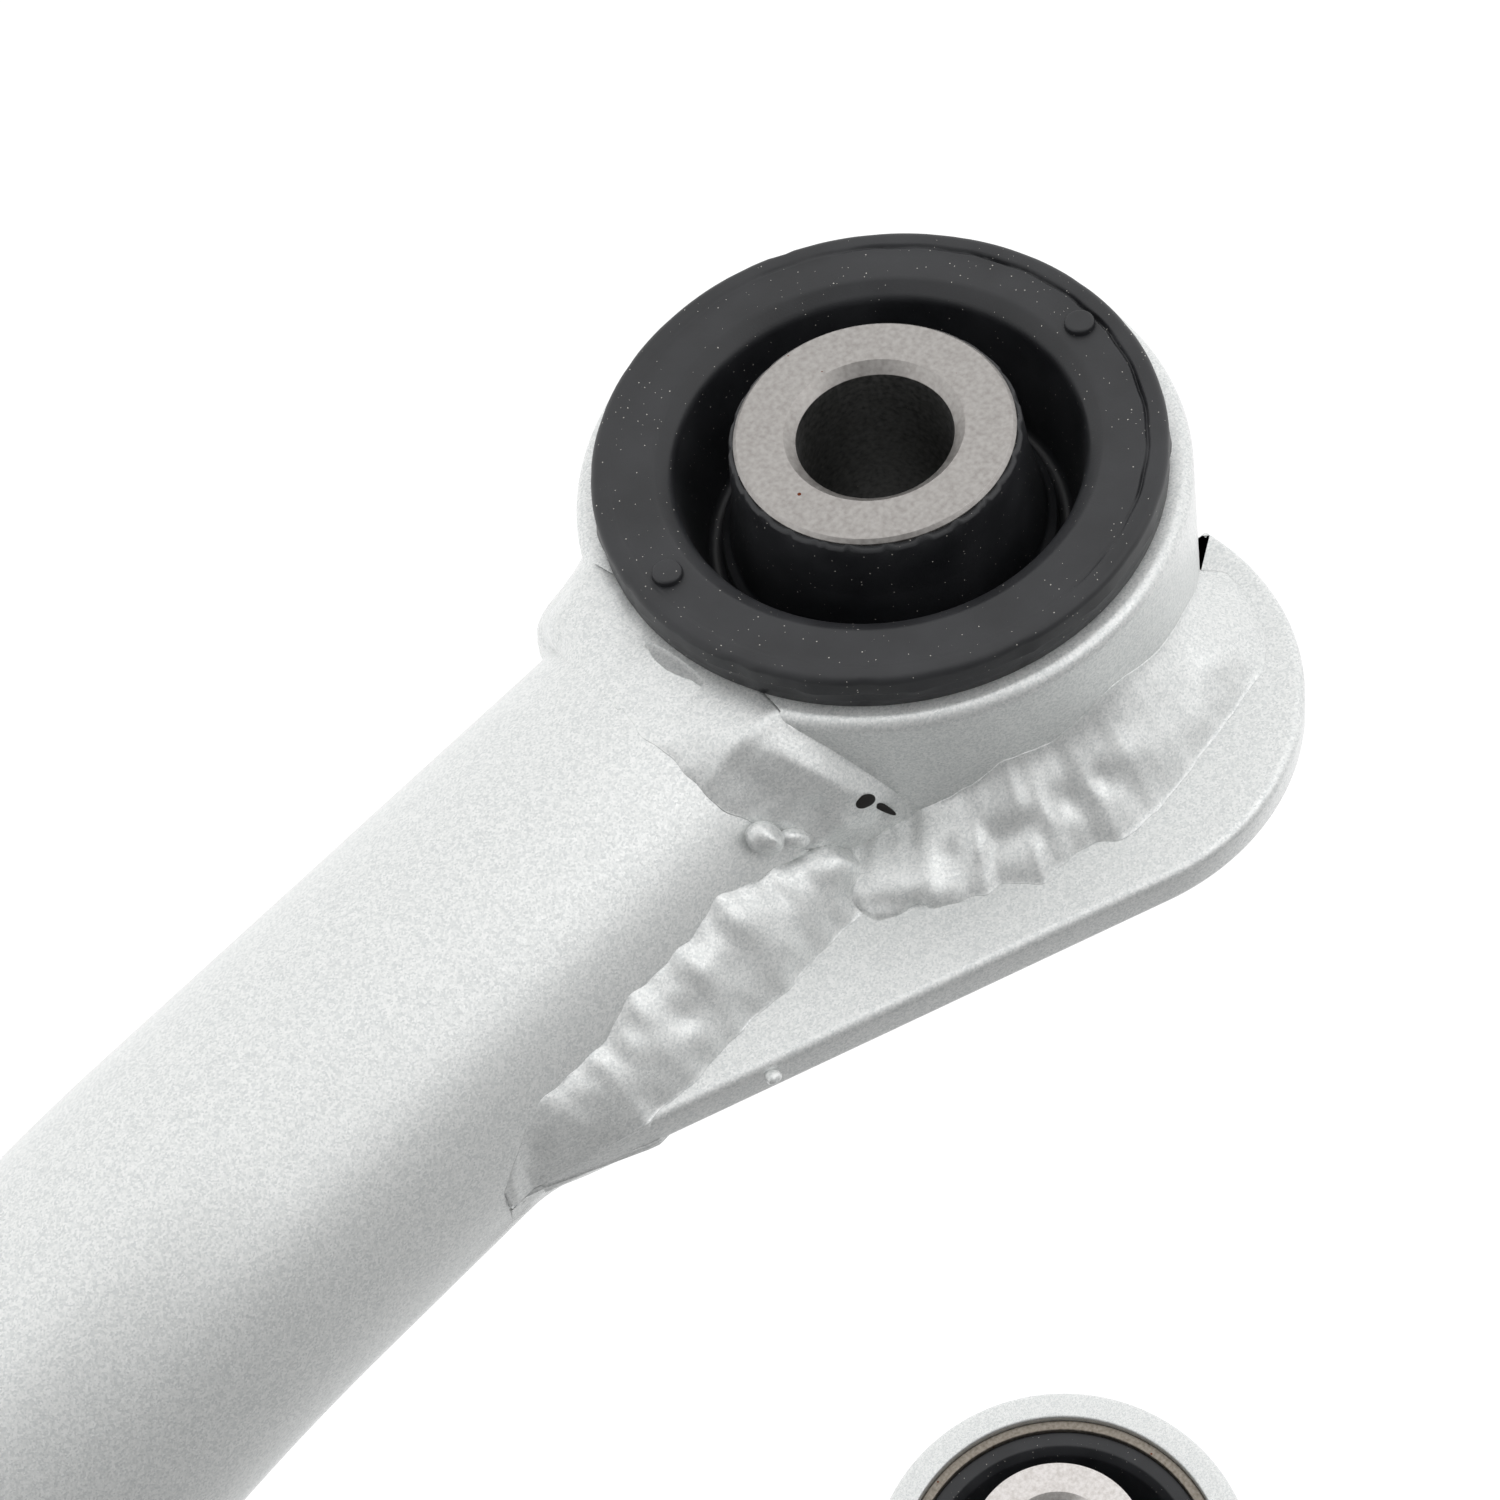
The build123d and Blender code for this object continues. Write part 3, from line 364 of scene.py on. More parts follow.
def grid_piece(
    name: str,
    points: np.ndarray,
    finish: Finish,
    body: Optional[str],
    ring: bool = True,
    loop: bool = False,
    cap: Cap = Cap.FAN,
    replaces: Sequence[str] = (),
    slot: Optional[str] = None,
    bands: Sequence[tuple[int, Finish]] = (),
) -> bpy.types.Object:
    """Makes one piece from a grid of points, and turns its faces outwards.

    The grid's rows run along the shape and its columns run round it. Face (i, j) joins rows i and
    i + 1 between columns j and j + 1.

    Args:
        name: The piece's name.
        points: An array of rows by columns by 3, in millimetres.
        finish: The piece's finish.
        body: The CAD body that it rides on, or None for a piece that rides on no body.
        ring: Whether the columns close on themselves.
        loop: Whether the rows close on themselves.
        cap: How the ends of a ring are closed.
        replaces: CAD nodes that it stands for.
        slot: The record's material slot; not used.
        bands: First rows of stretches that have a finish of their own.

    Returns:
        The new object.
    """
    rows, columns = points.shape[:2]
    vertices = points.reshape(-1, 3) * MM
    i = np.arange(rows if loop else rows - 1)[:, None]
    j = np.arange(columns if ring else columns - 1)[None, :]
    after_i, after_j = (i + 1) % rows, (j + 1) % columns
    corners = (i * columns + j, i * columns + after_j, after_i * columns + after_j, after_i * columns + j)
    quads = np.stack(np.broadcast_arrays(*corners), axis=-1).reshape(-1, 4)
    inside_out = ring and signed_volume(vertices - vertices.mean(0), quads) < 0
    faces = [tuple(q) for q in quads.tolist()]
    face_rows = np.repeat(np.arange(len(i)), j.size).tolist()
    flat_faces = 0
    around, last = list(range(columns)), (rows - 1) * columns
    if ring and not loop and cap is Cap.FAN:
        vertices = np.concatenate([vertices, points[:1].mean(1) * MM, points[-1:].mean(1) * MM])
        faces += [(rows * columns, (c + 1) % columns, c) for c in around]
        faces += [(rows * columns + 1, last + c, last + (c + 1) % columns) for c in around]
        face_rows += [0] * columns + [rows - 1] * columns
    if ring and not loop and cap is Cap.FACE:
        faces += [tuple(reversed(around)), tuple(last + c for c in around)]
        face_rows += [0, rows - 1]
        flat_faces = 2
    if inside_out:
        faces = [tuple(reversed(f)) for f in faces]
    mesh = bpy.data.meshes.new(name)
    mesh.from_pydata(vertices.tolist(), [], faces)
    mesh.materials.append(finish.material())
    if bands:
        index = np.zeros(len(faces), int)
        for first, banded in bands:
            mesh.materials.append(banded.material())
            index[np.array(face_rows) >= first] = len(mesh.materials) - 1
        mesh.polygons.foreach_set("material_index", index)
    smooth = np.ones(len(faces), bool)
    smooth[len(faces) - flat_faces :] = False
    mesh.polygons.foreach_set("use_smooth", smooth)
    mesh.update()
    made = bpy.data.objects.new(name, mesh)
    bpy.context.scene.collection.objects.link(made)
    if body:
        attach(made, body)
    if replaces:
        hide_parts(*replaces)
    log.info("%s: %d faces on %s", name, len(faces), body or "two bodies")
    return made


def painted(name: str, grid: np.ndarray, *replaces: str, **more: object) -> None:
    """Makes a piece in silver enamel that rides on the arm."""
    grid_piece(name, grid, ENAMEL, "arm", replaces=replaces, slot="silver_paint", **more)


def rounded(corners: Sequence[tuple], closed: bool = False, step: float = 0.6) -> np.ndarray:
    """Rounds a polyline's corners with arcs and divides its runs.

    Each corner is (x, y) or (x, y, radius). A corner's arc touches both of its runs, so its tangent
    length is the radius divided by the tangent of half the angle inside the corner.

    Args:
        corners: The corners in order.
        closed: Whether the last corner joins the first.
        step: The longest division of a straight run, in millimetres.

    Returns:
        An array of points, two numbers each.
    """
    count = len(corners)
    spots = np.array([c[:2] for c in corners], float)
    radii = [c[2] if len(c) > 2 else 0.0 for c in corners]
    stations: list[np.ndarray] = []
    for k in range(count):
        here = spots[k]
        if radii[k] == 0 or (not closed and k in (0, count - 1)):
            stations.append(here[None])
            continue
        back, ahead = spots[k - 1] - here, spots[(k + 1) % count] - here
        limit = 0.49 * min(np.linalg.norm(back), np.linalg.norm(ahead))
        back, ahead = back / np.linalg.norm(back), ahead / np.linalg.norm(ahead)
        inside = math.acos(float(np.clip(back @ ahead, -1, 1)))
        tangent = min(radii[k] / math.tan(inside / 2), limit)
        radius = tangent * math.tan(inside / 2)
        middle = (back + ahead) / np.linalg.norm(back + ahead)
        centre = here + middle * radius / math.sin(inside / 2)
        first, last = here + back * tangent - centre, here + ahead * tangent - centre
        turn = math.atan2(first[0] * last[1] - first[1] * last[0], float(first @ last))
        angle = np.linspace(0, turn, max(3, int(abs(turn) / math.radians(9)) + 1) + 1)
        cosine, sine = np.cos(angle), np.sin(angle)
        arc = np.stack([first[0] * cosine - first[1] * sine, first[0] * sine + first[1] * cosine], axis=1)
        stations.append(centre + arc)
    ends = stations + ([stations[0][:1]] if closed else [])
    out: list[np.ndarray] = []
    for a, b in zip(ends[:-1], ends[1:]):
        out.append(a)
        divisions = max(1, int(np.linalg.norm(b[0] - a[-1]) / step))
        out.append(a[-1] + (b[0] - a[-1]) * (np.arange(1, divisions) / divisions)[:, None])
    if not closed:
        out.append(ends[-1])
    return np.concatenate(out)


def through(at: np.ndarray, stations: Sequence[float], values: Sequence[float]) -> np.ndarray:
    """A smooth curve through a few values: cubic Hermite spans whose slopes are the neighbours' mean.

    Args:
        at: Where to read the curve.
        stations: Where its values are given, rising.
        values: The values.

    Returns:
        The curve at each place; it stays level beyond its ends.
    """
    x, y = np.array(stations, float), np.array(values, float)
    slope = np.gradient(y, x)
    at = np.clip(at, x[0], x[-1])
    k = np.clip(np.searchsorted(x, at, side="right") - 1, 0, len(x) - 2)
    span = x[k + 1] - x[k]
    t = (at - x[k]) / span
    return (
        (2 * t**3 - 3 * t**2 + 1) * y[k]
        + (t**3 - 2 * t**2 + t) * span * slope[k]
        + (3 * t**2 - 2 * t**3) * y[k + 1]
        + (t**3 - t**2) * span * slope[k + 1]
    )


def waver(at: np.ndarray, seed: int, lengths: Sequence[float] = (11.0, 5.3, 2.9)) -> np.ndarray:
    """Gentle unevenness: a sum of sine waves with seeded phases, each weighted by its wavelength.

    Args:
        at: Distances in millimetres.
        seed: Which of the many patterns to use.
        lengths: The waves' lengths in millimetres.

    Returns:
        Values from about -1 to 1.
    """
    draw = np.random.default_rng(seed)
    total = np.zeros_like(at, dtype=float)
    for length in lengths:
        total = total + length * np.sin(TAU * at / length + draw.uniform(0, TAU))
    return total / sum(lengths)


def unit(vectors: np.ndarray) -> np.ndarray:
    """Vectors divided by their lengths."""
    return vectors / np.maximum(np.linalg.norm(vectors, axis=-1, keepdims=True), 1e-9)


@dataclass(frozen=True)
class Ripple:
    """The frozen waves of a weld bead, one for each dab of metal.

    A wave's height is sin(pi f^lean), where f is how far a point is through its dab. The dabs bow back
    at the middle of the bead and drift along it, and each has a seeded height of its own.
    """

    pitch: float = 2.2
    depth: float = 0.16
    bow: float = 1.3
    lean: float = 0.7
    drift: float = 0.22
    uneven: float = 0.5
    seed: int = 1

    def height(self, along: np.ndarray, across: np.ndarray) -> np.ndarray:
        """Height of the waves.

        Args:
            along: Distance along the bead in millimetres.
            across: Place across it, from 0 to 1.

        Returns:
            Heights in millimetres.
        """
        draw = np.random.default_rng(self.seed)
        count = (along + self.bow * (2 * across - 1) ** 2) / self.pitch
        count = count + self.drift * waver(along, self.seed, (17.0, 7.0)) + 4
        dab = np.floor(count).astype(int)
        tall = 1 - self.uneven * draw.random(int(dab.max()) + 3)
        return self.depth * tall[dab] * np.sin(math.pi * (count - dab) ** self.lean)


@dataclass(frozen=True)
class Mark:
    """A lump or a dent in a bead: height * exp(-(distance / radius)^2)."""

    at: tuple[float, float, float]
    radius: float
    height: float


@dataclass(frozen=True)
class Bead:
    """The cross-section of a fillet weld.

    The face is a cubic Bezier curve from the toe on surface a to the toe on surface b. Its two inner
    control points lie on the surfaces' tangents at the toes, hug of the way to the root. A crown of
    crown * sin(pi u)^1.4, the ripple and the marks are added outwards. u is the place across the bead,
    w, stretched so that the crest is at u = 1/2. Small waves of the position make it uneven.
    """

    crown: float = 0.5
    hug_a: float = 0.4
    hug_b: float = 0.4
    uneven: float = 0.06
    lip_a: float = 0.03
    lip_b: float = 0.03
    depth: float = 0.7
    across: int = 24
    ripple: Ripple = field(default_factory=Ripple)

    def surface(
        self,
        root: np.ndarray,
        toe_a: np.ndarray,
        toe_b: np.ndarray,
        normal_a: np.ndarray,
        normal_b: np.ndarray,
        swell: np.ndarray | float = 0.0,
        calm: np.ndarray | float = 1.0,
        crest: np.ndarray | float = 0.5,
        stretch: np.ndarray | float = 1.0,
        marks: Sequence[Mark] = (),
    ) -> np.ndarray:
        """Works out the bead's skin.

        Args:
            root: The corner that the bead fills, a row of 3 for each station.
            toe_a: Where it ends on surface a.
            toe_b: Where it ends on surface b.
            normal_a: Surface a's outward direction at each toe.
            normal_b: Surface b's.
            swell: Extra crown at each station, in millimetres.
            calm: Share of the ripple at each station.
            crest: Where the crest lies, from 0 at toe a to 1 at toe b.
            stretch: Times by which hug b is lengthened; over 2 carries surface b on past the root.
            marks: Single lumps and dents.

        Returns:
            A grid of stations by points round the section.
        """
        toe_a = toe_a + normal_a * self.lip_a
        toe_b = toe_b + normal_b * self.lip_b
        reach_a, reach_b = root - toe_a, root - toe_b
        reach_a = reach_a - normal_a * (reach_a * normal_a).sum(-1, keepdims=True)
        reach_b = reach_b - normal_b * (reach_b * normal_b).sum(-1, keepdims=True)
        w = np.linspace(0, 1, self.across)[None, :, None]
        hug_b = self.hug_b * np.reshape(stretch, (-1, 1))
        ends = (toe_a, toe_a + self.hug_a * reach_a, toe_b + hug_b * reach_b, toe_b)
        weights = ((1 - w) ** 3, 3 * (1 - w) ** 2 * w, 3 * (1 - w) * w**2, w**3)
        face = sum(weight * end[:, None, :] for weight, end in zip(weights, ends))
        outward = unit((toe_a + toe_b) / 2 - root)
        steps = np.linalg.norm(np.diff(root, axis=0, prepend=root[:1]), axis=-1)
        along = np.cumsum(steps)[:, None]
        flat = w[..., 0]
        inside = np.sin(math.pi * flat) ** 0.6
        top = np.reshape(crest, (-1, 1))
        u = np.where(flat < top, 0.5 * flat / top, 0.5 + 0.5 * (flat - top) / (1 - top))
        crown = (self.crown + np.reshape(swell, (-1, 1))) * np.abs(np.sin(math.pi * u)) ** 1.4
        waves = self.ripple.height(along, flat) * inside * np.reshape(calm, (-1, 1))
        lift = crown + waves
        for mark in marks:
            gap = ((face - np.array(mark.at)) ** 2).sum(-1)
            lift = lift + mark.height * np.exp(-gap / mark.radius**2) * inside
        draw = np.random.default_rng(self.ripple.seed + 70)
        longest = 9.0
        for length in np.geomspace(longest, 2.6, 12):
            front = face @ unit(draw.normal(size=3))
            wave = np.sin(TAU * front / length + draw.uniform(0, TAU))
            lift = lift + self.uneven * (length / longest) * inside * wave
        face = face + lift[..., None] * outward[:, None, :]
        under = [toe_b - normal_b * self.depth, root - outward * self.depth, toe_a - normal_a * self.depth]
        return np.concatenate([face, np.stack(under, axis=1)], axis=1)


def slab(outline: np.ndarray, low: float, high: float, edge: float) -> np.ndarray:
    """A flat plate with rounded edges: its outline is drawn in by edge * (1 - sin f) where the face bends.

    Args:
        outline: The closed outline, two numbers a point, anticlockwise.
        low: Height of one face.
        high: Height of the other.
        edge: Radius of the edges.

    Returns:
        A grid of points (x, y, height), one row a height.
    """
    ahead = unit(np.roll(outline, -1, axis=0) - outline)
    tangent = unit(ahead + np.roll(ahead, 1, axis=0))
    inward = np.stack([-tangent[:, 1], tangent[:, 0]], axis=1)
    f = np.linspace(0, math.pi / 2, 7)
    inset = np.concatenate([[edge + 0.06], edge * (1 - np.sin(f))])
    drop = np.concatenate([[0.0], edge * (1 - np.cos(f))])
    insets = np.concatenate([inset, inset[::-1]])
    heights = np.concatenate([low + drop, high - drop[::-1]])
    flat = outline[None] + inward[None] * insets[:, None, None]
    return np.concatenate([flat, np.broadcast_to(heights[:, None, None], flat.shape[:2] + (1,))], axis=2)


def lathe(profile: np.ndarray, columns: int = 192) -> np.ndarray:
    """A profile turned about an axis: (r, h) goes to (r cos t, h, r sin t).

    Args:
        profile: Radii and heights.
        columns: How many steps the turn has.

    Returns:
        A grid of points, one row for each point of the profile.
    """
    t = np.arange(columns) / columns * TAU
    r, h = profile[:, :1], profile[:, 1:]
    return np.stack([r * np.cos(t), h + 0 * t, r * np.sin(t)], axis=-1)


def blob(
    centre: Sequence[float], normal: Sequence[float], along: Sequence[float], size: Sequence[float], seed: int
) -> np.ndarray:
    """A drop of spatter: a sphere grid stretched on three axes, its radius 1 + 0.12 times seeded waves.

    Args:
        centre: Its middle.
        normal: The direction it stands out in.
        along: The direction it is drawn out in.
        size: Half lengths along, across and out.
        seed: Which shape it has.

    Returns:
        A grid of points.
    """
    draw = np.random.default_rng(seed)
    a, b, c = draw.uniform(0, TAU, 3)
    polar = np.linspace(0.02, math.pi - 0.02, 17)[:, None]
    turn = (np.arange(28) / 28 * TAU)[None, :]
    lumps = np.sin(2 * turn + a) * np.sin(polar) + 0.6 * np.cos(3 * polar + b)
    lumps = lumps + 0.5 * np.sin(turn + c) * np.sin(polar)
    radius = 1 + 0.12 * lumps
    out = unit(np.array(normal, float))
    first = unit(np.array(along, float) - out * float(np.dot(along, out)))
    second = np.cross(out, first)
    parts = [
        (radius * np.sin(polar) * np.cos(turn) * size[0])[..., None] * first,
        (radius * np.sin(polar) * np.sin(turn) * size[1])[..., None] * second,
        (radius * np.cos(polar) * size[2])[..., None] * out,
    ]
    return np.array(centre, float) + sum(parts)


# ---- the arm ---------------------------------------------------------------------------
class End(Enum):
    """The arm's two pivot ends, by the sign of their Y."""

    FRONT = -1
    REAR = 1

    @property
    def word(self) -> str:
        """The end's name in lower case."""
        return self.name.lower()


@dataclass
class Hoop:
    """The bent tube, from one eye round the crown to the other."""

    radius: float = 17.45
    bend: float = 110.0
    half: float = 127.0
    reach: float = 195.05
    eye_radius: float = 28.0
    cup_centre: float = 232.0
    cup_hidden: float = 27.5
    row_step: float = 1.1
    columns: int = 144

    def path(self) -> tuple[np.ndarray, np.ndarray]:
        """The centreline: straight legs joined by two quarter bends and a short crown.

        Returns:
            Points (x, y) and the outward directions square to the path.
        """
        leg, side = self.reach - self.bend, self.half - self.bend
        quarter = self.bend * math.pi / 2
        lengths = (leg, quarter, 2 * side, quarter, leg)
        total = sum(lengths)
        s = np.linspace(0, total, int(total / self.row_step) + 1)
        first = np.clip((s - leg) / self.bend, 0, math.pi / 2)
        second = np.clip((s - leg - quarter - 2 * side) / self.bend, 0, math.pi / 2)
        turned = first + second
        out = np.stack([np.sin(turned), -np.cos(turned)], axis=1)
        x = np.minimum(s, leg) + self.bend * np.sin(turned)
        x = x - np.maximum(s - (total - leg), 0)
        y = np.clip(s - leg - quarter - side, -side, side) - self.bend * np.cos(turned)
        return np.stack([x, y], axis=1), out

    def build(self) -> None:
        """Builds the tube's skin.

        Points are centre + radius * (out cos v + up sin v). The end rows are drawn back to the eyes'
        walls, x = sqrt(R^2 - z^2), and points inside the cup's wall are pushed out to it.
        """
        centre, out = self.path()
        v = np.arange(self.columns) / self.columns * TAU
        across, z = self.radius * np.cos(v), self.radius * np.sin(v)
        x = centre[:, :1] + out[:, :1] * across
        y = centre[:, 1:] + out[:, 1:] * across
        z = np.broadcast_to(z, x.shape).copy()
        x = np.maximum(x, np.sqrt(self.eye_radius**2 - z**2) - 0.4)
        gap = np.hypot(x - self.cup_centre, y)
        push = np.maximum(self.cup_hidden / np.maximum(gap, 1e-6), 1.0)
        x = self.cup_centre + (x - self.cup_centre) * push
        y = y * push
        painted("arm_tube_skin", np.stack([x, y, z], axis=-1), "arm_tube")


@dataclass
class PivotEnd:
    """One eye with its bush, its gusset and its welds. Heights run outwards from the bush's middle."""

    end: End
    half: float = 127.0
    eye_radius: float = 28.0
    eye_bore: float = 23.75
    eye_half: float = 17.0
    eye_rim: float = 1.15
    tube: float = 17.45
    shell_inner: float = 22.15
    flange: float = 26.0
    flange_top: float = 20.7
    recess: float = 19.0
    cone: float = 14.7
    sleeve: float = 12.7
    bore: float = 7.1
    sleeve_top: float = 23.1
    sleeve_bottom: float = -25.7
    pip_circle: tuple[float, float] = (21.9, -5.06)
    plate_out: float = 0.5
    plate_in: float = -3.5
    groove_inset: float = 1.9
    groove_width: float = 0.17
    fringe_depth: float = 0.42
    plate_end: tuple[float, float, float] = (1.0, 19.0, 23.4)
    plate_tip: tuple[float, float] = (66.0, 18.05)
    thumbprints: tuple[tuple[float, float, float, float, float], ...] = (
        # x, height over the plate less 2, z, radius and height of each mark
        (28.0, 2.2, 18.2, 3.0, 1.5),
        (26.6, -0.4, 22.6, 2.1, -1.3),
        (23.0, 0.3, 22.6, 1.7, 0.9),
        (20.6, -0.2, 24.6, 1.7, -1.2),
        (18.6, 0.6, 26.2, 1.4, 0.6),
        (16.6, 0.5, 27.8, 1.7, -1.2),
        (14.4, 0.9, 28.7, 1.3, -0.9),
        (12.6, 1.0, 29.8, 1.4, 0.5),
        (10.4, 1.3, 30.0, 1.6, -1.1),
        (8.6, 1.6, 30.8, 1.2, 0.5),
        (7.0, 1.7, 31.0, 1.3, -0.9),
        (3.0, 1.2, 31.4, 2.0, 0.4),
        (-9.9, 1.0, 29.6, 2.2, 0.7),
        (-14.5, 0.3, 28.5, 1.6, 0.6),
    )

    @property
    def side(self) -> int:
        """The sign of this end's Y."""
        return self.end.value

    def row(self, points: np.ndarray) -> np.ndarray:
        """Takes points (x, height, z) to the row frame: y is the end's side times (half + height)."""
        placed = np.array(points, float)
        placed[..., 1] = self.side * (self.half + placed[..., 1])
        return placed

    def turned(
        self, name: str, profile: np.ndarray, finish: Finish, body: str = "arm", **more: object
    ) -> None:
        """Builds one ring-shaped piece from a closed profile."""
        grid = self.row(lathe(profile))
        grid_piece(f"{self.end.word}_{name}", grid, finish, body, loop=True, **more)

    def build(self) -> None:
        """Builds the whole end."""
        self.eye()
        self.rubber()
        self.sleeve_piece()
        self.plate()
        self.tube_bead()
        self.plate_beads()
        self.spatter()

    def eye(self) -> None:
        """The eye and the steel shell pressed into it."""
        word, r, b, h = self.end.word, self.eye_radius, self.eye_bore, self.eye_half
        ring = rounded(
            [(r, -h, self.eye_rim), (r, h, self.eye_rim), (b, h, 0.4), (b, -h, 0.4)], closed=True, step=0.9
        )
        self.turned("eye_ring", ring, ENAMEL, replaces=[f"{word}_eye"], slot="silver_paint")
        edge = self.flange - 0.8
        corners = [
            (self.shell_inner, 1 - h, 0.25), (b, 1 - h, 0.35), (b, h), (edge, h), (edge, h + 1, 0.2),
            (self.shell_inner, h + 1),
        ]
        shell = rounded(corners, closed=True, step=1.2)
        self.turned("pressed_shell", shell, PRESSED, replaces=[f"{word}_bush_shell"], slot="zinc_steel")

    def rubber(self) -> None:
        """The bonded rubber: flange with parting groove and worn lip, ring-shaped recess, and sleeve film.

        The profile is turned about the pivot axis. The groove's depth and the lip's radius are then
        changed by waves of the angle, and short nicks are taken out of the lip.
        """
        grip, film = self.sleeve + 0.05, self.sleeve + 0.5
        top, h = self.flange_top, self.eye_half
        edge, cone, recess, shell = self.flange, self.cone, self.recess, self.shell_inner
        corners = [
            (grip, self.sleeve_top - 0.5), (film, self.sleeve_top - 0.95, 0.3), (film + 0.45, top - 4.0, 2.0),
            (cone - 0.1, h - 6.6, 0.6), (cone + 0.75, h - 7.1, 0.3), (cone + 0.8, h - 9.0, 0.7),
            (cone + 2.2, h - 9.0, 0.9), (recess - 0.35, top - 1.3, 1.3), (recess + 1.3, top - 0.22, 1.0),
            *((edge - 2.4 + 0.09 * k, top - 0.2 + 0.017 * k) for k in range(11)),
            (edge, top, 1.2), (edge, h + 1.75, 0.12), (edge - 0.12, h + 1.6, 0.1), (edge - 0.12, h),
            (edge - 0.8, h), (edge - 0.8, h + 1), (shell, h + 1), (shell, 1.7 - h, 0.3),
            (recess + 0.9, 1.7 - h, 0.5), (recess - 0.2, 2.9 - h, 0.9), (cone + 2.2, 11 - h, 0.9),
            (cone, 11 - h, 0.9), (film + 0.4, 1.7 - h, 2.0), (film, self.sleeve_bottom + 2.95, 0.2),
            (grip, self.sleeve_bottom + 2.5),
        ]
        profile = rounded(corners, closed=True, step=0.7)
        grid = lathe(profile)
        columns = grid.shape[1]
        t = np.arange(columns) / columns * TAU
        r, up = profile[:, :1], profile[:, 1:]
        groove_at = edge - self.groove_inset + 0.1 * waver(t * 24, 13, (5.1, 2.3, 1.1))[None, :]
        groove = np.exp(-(((r - groove_at) / self.groove_width) ** 2)) * (up > top - 1)
        depth = 0.03 + 0.5 * np.clip(np.cos(t - math.radians(165)) + 0.25 * waver(t * 24, 5), 0, 1.2) ** 1.5
        sink = groove * depth[None, :] + 0.04 * (up > top - 1) * waver(t * 23, 19, (31.0, 13.0))[None, :]
        lip = np.clip((r - edge + 0.9) / 0.9, 0, 1) * (up > h)
        ragged = 0.05 * waver(t * 26, 8, (7.0, 3.1, 1.3))
        draw = np.random.default_rng(21)
        for middle in np.concatenate([draw.uniform(-0.5, 0.7, 7), draw.uniform(0, TAU, 5)]):
            wide, deep = draw.uniform(0.012, 0.035), draw.uniform(0.08, 0.24)
            away = np.angle(np.exp(1j * (t - middle)))
            ragged = ragged - deep * np.exp(-((away / wide) ** 2))
        flash = np.exp(-(((up - h - 1.75) / 0.25) ** 2)) * (r > edge - 0.3)
        spill = 0.16 * np.clip(2.2 * waver(t * 26, 27, (9.0, 3.3, 1.1)) - 0.5, 0, 1)[None, :]
        cut = lip * np.minimum(ragged, 0.0)[None, :] + flash * spill
        film_top = np.clip((up - self.sleeve_top + 1.3) / 0.6, 0, 1) * (up > 0) * (r < film + 0.1)
        fringe = film_top * np.clip(1.6 * waver(t * self.sleeve, 17, (3.1, 1.7, 0.9)) - 0.1, 0, 1)[None, :]
        swell = np.exp(-(((r - cone) / 0.9) ** 2)) * (up > 0) * 0.05 * waver(t * 15, 3)[None, :]
        fray = self.fringe_depth * fringe
        grid[..., 0] += (cut + swell - fray) * np.cos(t)
        grid[..., 2] += (cut + swell - fray) * np.sin(t)
        grid[..., 1] += fray - sink
        word = self.end.word
        grid_piece(
            f"{word}_rubber", self.row(grid), BUSH_RUBBER, "arm", loop=True, replaces=[f"{word}_bush_rubber"],
            slot="bush_rubber",
        )
        pip = rounded([(0.03, 0.62), (1.35, 0.6, 0.3), (1.5, -0.6)], step=0.2)
        for label, sign in (("a", 1), ("b", -1)):
            foot = np.array([sign * self.pip_circle[0], top - 0.2, sign * self.pip_circle[1]])
            dome = lathe(pip, 48) + foot
            grid_piece(f"{word}_flange_pip_{label}", self.row(dome), BUSH_RUBBER, "arm", slot="bush_rubber")

    def sleeve_piece(self) -> None:
        """The inner sleeve, its bore darker than its faces as painted shade inside the hole."""
        word, r, b = self.end.word, self.sleeve, self.bore
        low, high = self.sleeve_bottom, self.sleeve_top
        corners = [
            (r, low + 0.35, 0.1), (r, high - 0.35, 0.1), (r - 0.35, high, 0.1), (b + 1.05, high, 0.12),
            (b, high - 0.95, 0.15), (b, low + 0.95, 0.15), (b + 0.95, low, 0.1), (r - 0.35, low, 0.1),
        ]
        profile = rounded(corners, closed=True, step=0.8)
        in_bore = np.flatnonzero(profile[:, 0] < b + 0.03)
        # the bore's darker steel is painted shade inside the hole
        bands = [(int(in_bore[0]), SHADED_BORE_STEEL), (int(in_bore[-1]) + 1, FACED)]
        self.turned(
            "sleeve_tube", profile, TURNED, f"{word}_sleeve", replaces=[f"{word}_inner_sleeve"],
            slot="turned_steel", bands=bands,
        )

    def plate_edge(self) -> tuple[np.ndarray, float]:
        """Where the plate's straight edge leaves its round end, and the edge's slope."""
        x, z, r = self.plate_end
        away = (self.plate_tip[0] - x, self.plate_tip[1] - z)
        turn = math.atan2(away[1], away[0]) + math.acos(r / math.hypot(*away))
        touch = np.array([x + r * math.cos(turn), z + r * math.sin(turn)])
        slope = (self.plate_tip[1] - touch[1]) / (self.plate_tip[0] - touch[0])
        return touch, slope

